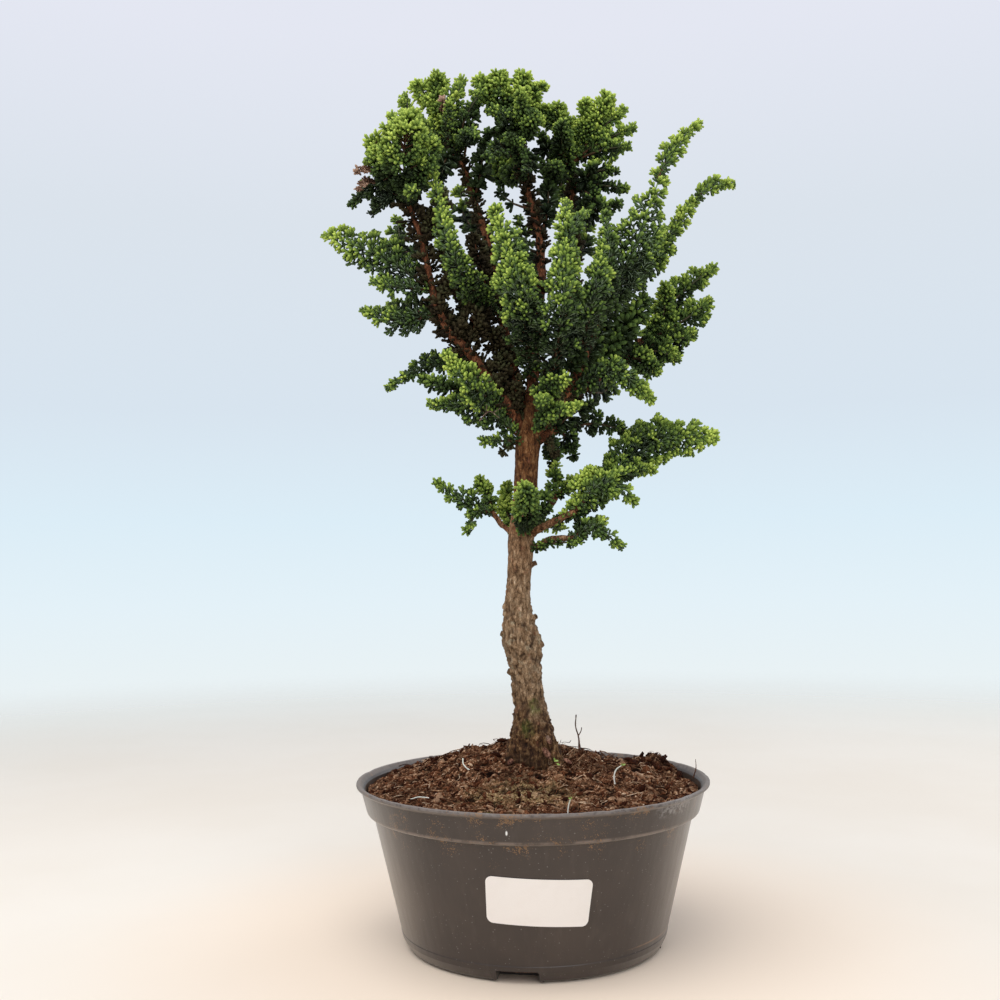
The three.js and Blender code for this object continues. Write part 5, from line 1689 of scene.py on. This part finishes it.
def grow_fan(rng, length):
    """A flat branch of fingers that runs along +Z and faces +Y, dark at its root and bright at its ends:
    young tips, and painted shade towards the root.
    """
    bm = leaf_mesh()
    flat = Vector((0, 1, 0))
    stem = length - 2.4
    girth = 0.88
    vein = bmesh.ops.create_cone(
        bm, cap_ends=True, segments=3, radius1=TWIG_RADIUS, radius2=TWIG_RADIUS * 0.4,
        depth=stem * 0.8)["verts"]
    bright, bare = (bm.verts.layers.float[name] for name in ("bright", "twig"))
    for corner in vein:
        corner.co += Vector((0, 0.6, stem * 0.4))
        corner[bare], corner[bright] = 1.0, 0.5
    add_finger(bm, Vector((0, 0, 0)), Vector((0, 0, 1)), flat, stem + 0.6, 0.5, rng, 0.8, 0.5)
    shoots = max(2, round(stem / 1.35))
    for number in range(shoots):
        up = (number + 0.5) / shoots
        spread = math.radians(lerp(60, 38, up) + rng.uniform(-7, 7))
        turn = math.pi * number + rng.uniform(-0.5, 0.5)
        side = Vector((math.cos(turn), math.sin(turn), 0))
        ahead = side * math.sin(spread) + Vector((0, 0, math.cos(spread)))
        reach = length * 0.36 * math.sin(math.pi * lerp(0.22, 0.8, up)) + 1.3
        add_shoot(bm, Vector((0, 0, up * stem)), ahead, flat, reach, 0.2 + 0.7 * up ** 1.5, rng, girth)
    end = Vector((0, 0, stem - 0.8))
    add_finger(bm, end, Vector((0, 0.15, 1)), flat, 3.4, 1.0, rng, 1.0)
    for hand, back, slope in ((1, 0.9, 0.55), (-1, 1.7, 0.62)):
        add_finger(bm, end - Vector((0, 0, back)), Vector((hand * slope, 0.2, 1)), flat, 2.9, 0.94, rng, 0.95)
    return as_template(bm, "fan")


def grow_bunch(rng, length):
    """Blunt fingers that rise side by side from one short stem, with their tips on a dome."""
    bm = leaf_mesh()
    number = round(length * 0.8) + 2
    reach = min(length, 4.8)
    for count in range(number):
        out = (count + 0.3) / number
        turn = count * GOLDEN_TURN
        spread = math.radians(4 + 56 * math.sqrt(out) + rng.uniform(-6, 6))
        side = Vector((math.cos(turn), math.sin(turn), 0))
        ahead = side * math.sin(spread) + Vector((0, 0, math.cos(spread)))
        base = Vector((0, 0, (length - reach) * (1 - out ** 2)))
        high = 1.0 - 0.25 * out + rng.uniform(-0.06, 0.06)
        add_finger(bm, base, ahead, side, reach * rng.uniform(0.82, 1.05), high, rng, 1.1, 0.85)
    return as_template(bm, "bunch")


def fan(along):
    """A rounded frond fans out from a narrow root and closes in a rounded tip."""
    return (0.35 + 0.65 * rise(along, 0, 0.45)) * math.sqrt(1 - 0.75 * along ** 4)


def taper(along):
    """A flat frond is widest below its middle and narrows to its tip."""
    return (0.4 + 0.6 * rise(along, 0, 0.35)) * (1.1 - 0.8 * along ** 2.2)


def frond_facing(spine, tip):
    outwards = Vector((0.35 * math.copysign(1, tip[0]), -1 if tip[1] < 8 else 1, 0.35))
    direction = spine.heading(0.5)
    return (outwards - direction * outwards.dot(direction)).normalized()


class Foliage:
    """Grows sprigs on fronds and limbs, from one set of templates."""

    def __init__(self, pitch):
        rng = random.Random(11)
        self.pitch = pitch
        self.fans, self.bunches = (
            [(length, [grow(rng, length) for _ in range(VARIETIES)]) for length in SPRIG_LENGTHS]
            for grow in (grow_fan, grow_bunch))

    def sprig(self, bm, rng, root, ahead, flat, reach, high, bunch=False, coarse=1.0):
        """Adds the template nearest in length. high is the brightness of its tips, painted darker as shade
        within the crown and in its hollows.
        A coarse one has fewer and larger fingers.
        """
        wanted = reach / coarse
        length, shapes = min(self.bunches if bunch else self.fans, key=lambda entry: abs(entry[0] - wanted))
        scale = min(max(reach / length, 0.8 * min(coarse, 1)), 1.25 * coarse)
        matrix = aim(root, ahead, flat, scale, scale, scale)
        # Painted shade: sprigs deep within the crown and in the hollows are made darker.
        away = Vector((root.x / 100, (root.y - 10) / 75, (root.z - 350) / 110)).length
        high += 0.4 * (min(away, 1) - 0.72)
        for centre, radii, shade in HOLLOWS:
            off = Vector([(a - b) / c for a, b, c in zip(root, centre, radii)]).length
            high -= shade * max(0.0, 1 - off ** 2)
        high = min(max(high, 0.1), 1)
        low = max(0.0, high - lerp(0.78, 0.5, rise(away, 0.55, 1.1)))
        append(bm, rng.choice(shapes), matrix, bright=(high - low, low))

    def stem(self, bm, points, facing, thick, thin, sides=6, tone=1.0):
        """A bare stem, brown where it starts and green where it ends, or brown all along at a low tone."""
        spine = Spine(points)
        made = leaf_mesh()
        bright, bare = (made.verts.layers.float[name] for name in ("bright", "twig"))
        rings = 1 if len(points) == 2 else max(3, round(spine.length() / 5))

        def place(turn, along):
            middle, heading, across, out = frame_at(spine, along, facing)
            angle = turn * math.tau
            return middle + (across * math.sin(angle) + out * math.cos(angle)) * lerp(thick, thin, along)

        tube(made, sides, rings, place)
        start, end = spine.at(0), spine.at(1)
        for corner in made.verts:
            away, left = (corner.co - start).length, (corner.co - end).length
            corner[bright] = tone * away / (away + left)
            corner[bare] = 1.0
        bmesh.ops.recalc_face_normals(made, faces=made.faces)
        mesh = as_template(made, "stem")
        bm.from_mesh(mesh)
        bpy.data.meshes.remove(mesh)

    def frond(self, bm, rng, root, way, tip, half, puff, fresh, coarse=1.0):
        spine = Spine([root, way, tip])
        facing = frond_facing(spine, tip)
        fresh += rng.uniform(-0.05, 0.05)
        self.stem(bm, [root, way, spine.at(0.95)], facing, 0.85, 0.35, 6, 1.0 if puff < OPEN_BELOW else 0.25)
        if puff > ROUND_FROM:
            self.cushion(bm, rng, spine, facing, half, puff, fresh, coarse)
        else:
            self.plume(bm, rng, spine, facing, half, puff, fresh)
        middle, heading, across, out = frame_at(spine, 1.0, facing)
        reach = max(half * 0.5, 4.5)
        for spread in (-0.6, 0, 0.6):
            base = middle - heading * reach * (1.1 + 0.15 * abs(spread))
            self.sprig(bm, rng, base, heading + across * spread, out, reach, 0.97 + fresh)

    def cushion(self, bm, rng, spine, facing, half, puff, fresh, coarse):
        """Bunches all round a stem, set out on the surface of a rounded mass, closer on its outer side."""
        length = spine.length()
        stations = max(3, round(length / (4.2 * coarse)))
        number = rng.randrange(9)
        for station in range(stations):
            along = lerp(0.08, 0.96, station / (stations - 1))
            middle, heading, across, out = frame_at(spine, along, facing)
            swell = half * fan(along)
            around = max(4, round(math.tau * swell / (5.6 * coarse)))
            for place in range(around):
                number += 1
                angle = (place + 0.5 * (station % 2) + rng.uniform(-0.35, 0.35)) * math.tau / around
                side = across * math.sin(angle) + out * math.cos(angle)
                lump = wave(middle + side * swell, 7.5, 2)
                if side.dot(out) < -0.5 and number % 2 or lump < rng.uniform(-0.75, -0.2):
                    continue
                reach = swell * lerp(puff, 1, abs(math.sin(angle))) * rng.uniform(0.84, 1.08)
                reach *= 1 + 0.45 * lump
                ahead = (side + heading * (rng.uniform(0.1, 0.5) + 0.5 * along)).normalized()
                ahead = (ahead + Vector([rng.uniform(-0.3, 0.3) for _ in range(3)])).normalized()
                reach = min(reach, ((1 - along) * length + 2.5) / max(0.2, ahead.dot(heading)))
                size = rng.uniform(4.6, 7.4) * coarse
                root = middle + ahead * max(0.0, reach - size)
                if reach > size + 2.5 and number % 2:
                    self.stem(bm, [middle, root], heading, 0.4, 0.3, 4, 0.15)
                # Painted light: bunches that face up are lighter and those on the inner side darker.
                shade = 0.36 * ahead.z + 0.2 * along - (0.2 if side.dot(out) < -0.3 else 0) + 0.34 * lump
                high = 0.7 + shade + fresh + rng.uniform(-0.16, 0.14)
                self.sprig(bm, rng, root, ahead, heading, max(min(reach, size), 3.8), high, True, coarse)

    def plume(self, bm, rng, spine, facing, half, puff, fresh):
        """A flat frond: dull fans side by side over its stem, with bright bunches at its ragged edges. The
        fans that lie beneath are painted darker, as shade.
        """
        sparse = puff < OPEN_BELOW
        length = spine.length()
        coarse = 1.75 if spine.points[2].y > 28 else 1.0
        stations = max(4, round(length / (self.pitch * coarse * (1.0 if sparse else 1.15))))
        for station in range(stations):
            along = lerp(0.06, 0.95, station / (stations - 1))
            middle, heading, across, out = frame_at(spine, along, facing)
            swell = half * taper(along)
            left = (1 - along) * length + 2.5
            hand = 1 if station % 2 else -1

            def grow(turn, reach, lean, flat, high, start=0.0, bunch=False, size=1.0):
                angle = math.radians(turn + rng.uniform(-14, 14))
                side = across * math.sin(angle) + out * math.cos(angle)
                ahead = (side + heading * lean).normalized()
                reach = max(min(reach, left / max(0.2, ahead.dot(heading))), 3.8)
                start = max(min(start, reach - 4.2), 0)
                # Painted light: sprigs that point up are lighter.
                high += fresh + 0.18 * ahead.z
                self.sprig(
                    bm, rng, middle + ahead * start, ahead, flat + side * rng.uniform(-0.3, 0.4),
                    reach - start, high, bunch, coarse * size)

            lobe = rng.uniform(-1, 1)
            reach = swell * (1 + 0.24 * lobe)
            lean = rng.uniform(0.45, 1.0)
            grow(hand * 90, reach, lean, out, 0.4 + 0.54 * along + 0.08 * lobe + rng.uniform(-0.1, 0.08))
            if reach > 5.5 and rng.random() < 0.8:
                grow(hand * 80, reach, lean, out, 0.58 + 0.5 * along + 0.12 * lobe + rng.uniform(-0.1, 0.1),
                     reach - 4.6, True)
            if reach > 9 and rng.random() < 0.6:
                grow(hand * 66, reach * 0.7, lean + 0.3, out, 0.4 + 0.56 * along + rng.uniform(-0.15, 0.15),
                     reach * 0.7 - 4.4, True)
            if not sparse:
                grow(-hand * 58, swell * rng.uniform(0.55, 1.0), rng.uniform(0.9, 1.5), out,
                     0.26 + 0.46 * along + rng.uniform(-0.12, 0.1), size=1.3)
            if station % 2:
                grow(hand * 30 * rng.uniform(-1, 1), swell * lerp(0.4, 0.9, puff), rng.uniform(1.0, 1.8), out,
                     0.24 + 0.48 * along + rng.uniform(-0.1, 0.12), size=1.3)
            if rng.random() < (0.1 if sparse else 0.12) + 0.6 * along ** 3:
                reach = max(swell * lerp(0.5, 0.9, puff) * rng.uniform(0.7, 1), 5)
                grow(rng.uniform(-60, 60), reach, rng.uniform(0.5, 1.2), out,
                     0.52 + 0.46 * along + rng.uniform(-0.16, 0.16), reach - 4.6, True)
            if station % 4 == 1:
                grow(hand * 150, swell * lerp(0.6, 1, puff), 1.0, -out,
                     0.4 + 0.44 * along + rng.uniform(-0.1, 0.15), size=1.3)

    def old_growth(self, bm, rng, points, reach):
        """Fine tufts of past years round a limb, with its outer side mostly bare."""
        spine = Spine(points)
        stations = round(spine.length() / 3.6)
        number = 0
        for station in range(stations):
            along = lerp(0.1, 0.98, station / (stations - 1))
            middle, heading, across, out = frame_at(spine, along, BARK_FACING)
            for _ in range(3):
                number += 1
                angle = number * GOLDEN_TURN + rng.uniform(-0.3, 0.3)
                side = across * math.sin(angle) + out * math.cos(angle)
                if side.dot(out) > 0.9 and rng.random() < 0.5:
                    continue
                length = reach * rng.uniform(0.45, 0.95) * (1 - 0.35 * along)
                ahead = side + heading * rng.uniform(0.2, 1.0)
                high = rng.uniform(0.2, 0.9)
                self.sprig(bm, rng, middle, ahead, heading, max(length, 4), high, number % 3 == 0, 1.1)


class BONSAI_OT_foliage(bpy.types.Operator):
    """Every spray of scale leaves, the shaded growth within the crown, the bronze growth of past years,
    and the few dried tips"""
    bl_idname = "bonsai.foliage"
    bl_label = "Foliage"

    def execute(self, context):
        settings = context.scene.bonsai_foliage
        foliage = Foliage(settings.pitch / MM)
        leaf, old_leaf = leaf_material(settings), old_leaf_material()
        for index, (name, fronds) in enumerate(SPRAYS.items()):
            old = name in OLD_SPRAYS
            self.piece(
                foliage, f"foliage_{name}", 100 + index, fronds, FRESHNESS_AND_SHADE.get(name, 0.0), 1.0,
                ("old_leaf", old_leaf) if old else ("leaf", leaf), [f"spray_{name}"])
        for index, (name, fronds) in enumerate(SHADED_GROWTH.items()):
            # Painted shade: the shaded growth is made darker by a fixed amount.
            coarse = 1.15 if name in SEEN_SHADED else 1.65
            self.piece(foliage, f"shaded_growth_{name}", 300 + index, fronds, -0.36, coarse, ("leaf", leaf))
        for index, (name, fronds) in enumerate(BRONZE_GROWTH.items()):
            self.piece(
                foliage, f"bronze_growth_{name}", 400 + index, fronds, -0.2, 1.05, ("old_leaf", old_leaf))
        dry = dry_leaf_material()
        for index, (name, fronds) in enumerate(DRIED_GROWTH.items()):
            self.piece(foliage, f"dried_growth_{name}", 450 + index, fronds, 0.1, 0.8, ("old_leaf", dry))
        for index, (name, (_, _, reach, points)) in enumerate(LIMBS.items()):
            if reach:
                bm = leaf_mesh()
                foliage.old_growth(bm, random.Random(500 + index), points, reach)
                self.finish(bm, f"old_growth_{name}", ("old_leaf", old_leaf))
        return {"FINISHED"}

    def piece(self, foliage, name, seed, fronds, fresh, coarse, look, replaces=()):
        rng = random.Random(seed)
        bm = leaf_mesh()
        for root, way, tip, half, puff, *shift in fronds:
            foliage.frond(bm, rng, root, way, tip, half, puff, fresh + sum(shift), coarse)
        self.finish(bm, name, look, replaces)

    def finish(self, bm, name, look, replaces=()):
        """Holds the outermost tips inside the box of the solids, and makes the piece."""
        low, high = (Vector(corner) / MM for corner in CAD_BOX)
        for corner in bm.verts:
            corner.co = [min(max(c, a), b) for c, a, b in zip(corner.co, low, high)]
        slot, material = look
        finished(bm, name, slot, [material], replaces)


# ------------------------------------------------------------------ panel and registration

class BONSAI_PT_panel(bpy.types.Panel):
    """Lists the pieces of the bonsai"""
    bl_label = "Bonsai"
    bl_idname = "BONSAI_PT_panel"
    bl_space_type = "VIEW_3D"
    bl_region_type = "UI"
    bl_category = "Bonsai"

    def draw(self, context):
        for step, group in STEPS.items():
            box = self.layout.box()
            box.operator(f"bonsai.{step}")
            settings = getattr(context.scene, f"bonsai_{step}")
            for name in group.__annotations__:
                box.prop(settings, name)


STEPS = {
    "stage": StageSettings,
    "bowl": BowlSettings,
    "label": LabelSettings,
    "peat": PeatSettings,
    "sprouts": SproutsSettings,
    "bark": BarkSettings,
    "foliage": FoliageSettings,
}
CLASSES = [
    *STEPS.values(),
    BONSAI_OT_stage, BONSAI_OT_bowl, BONSAI_OT_label, BONSAI_OT_peat, BONSAI_OT_sprouts,
    BONSAI_OT_bark, BONSAI_OT_foliage,
    BONSAI_PT_panel,
]


def register():
    for item in CLASSES:
        bpy.utils.register_class(item)
    for step, group in STEPS.items():
        setattr(bpy.types.Scene, f"bonsai_{step}", PointerProperty(type=group))


def unregister():
    for step in STEPS:
        delattr(bpy.types.Scene, f"bonsai_{step}")
    for item in reversed(CLASSES):
        bpy.utils.unregister_class(item)


def main():
    register()
    bpy.ops.bonsai.stage()
    bpy.ops.bonsai.bowl()
    bpy.ops.bonsai.label()
    bpy.ops.bonsai.peat()
    bpy.ops.bonsai.sprouts()
    bpy.ops.bonsai.bark()
    bpy.ops.bonsai.foliage()


if __name__ == "__main__":
    main()
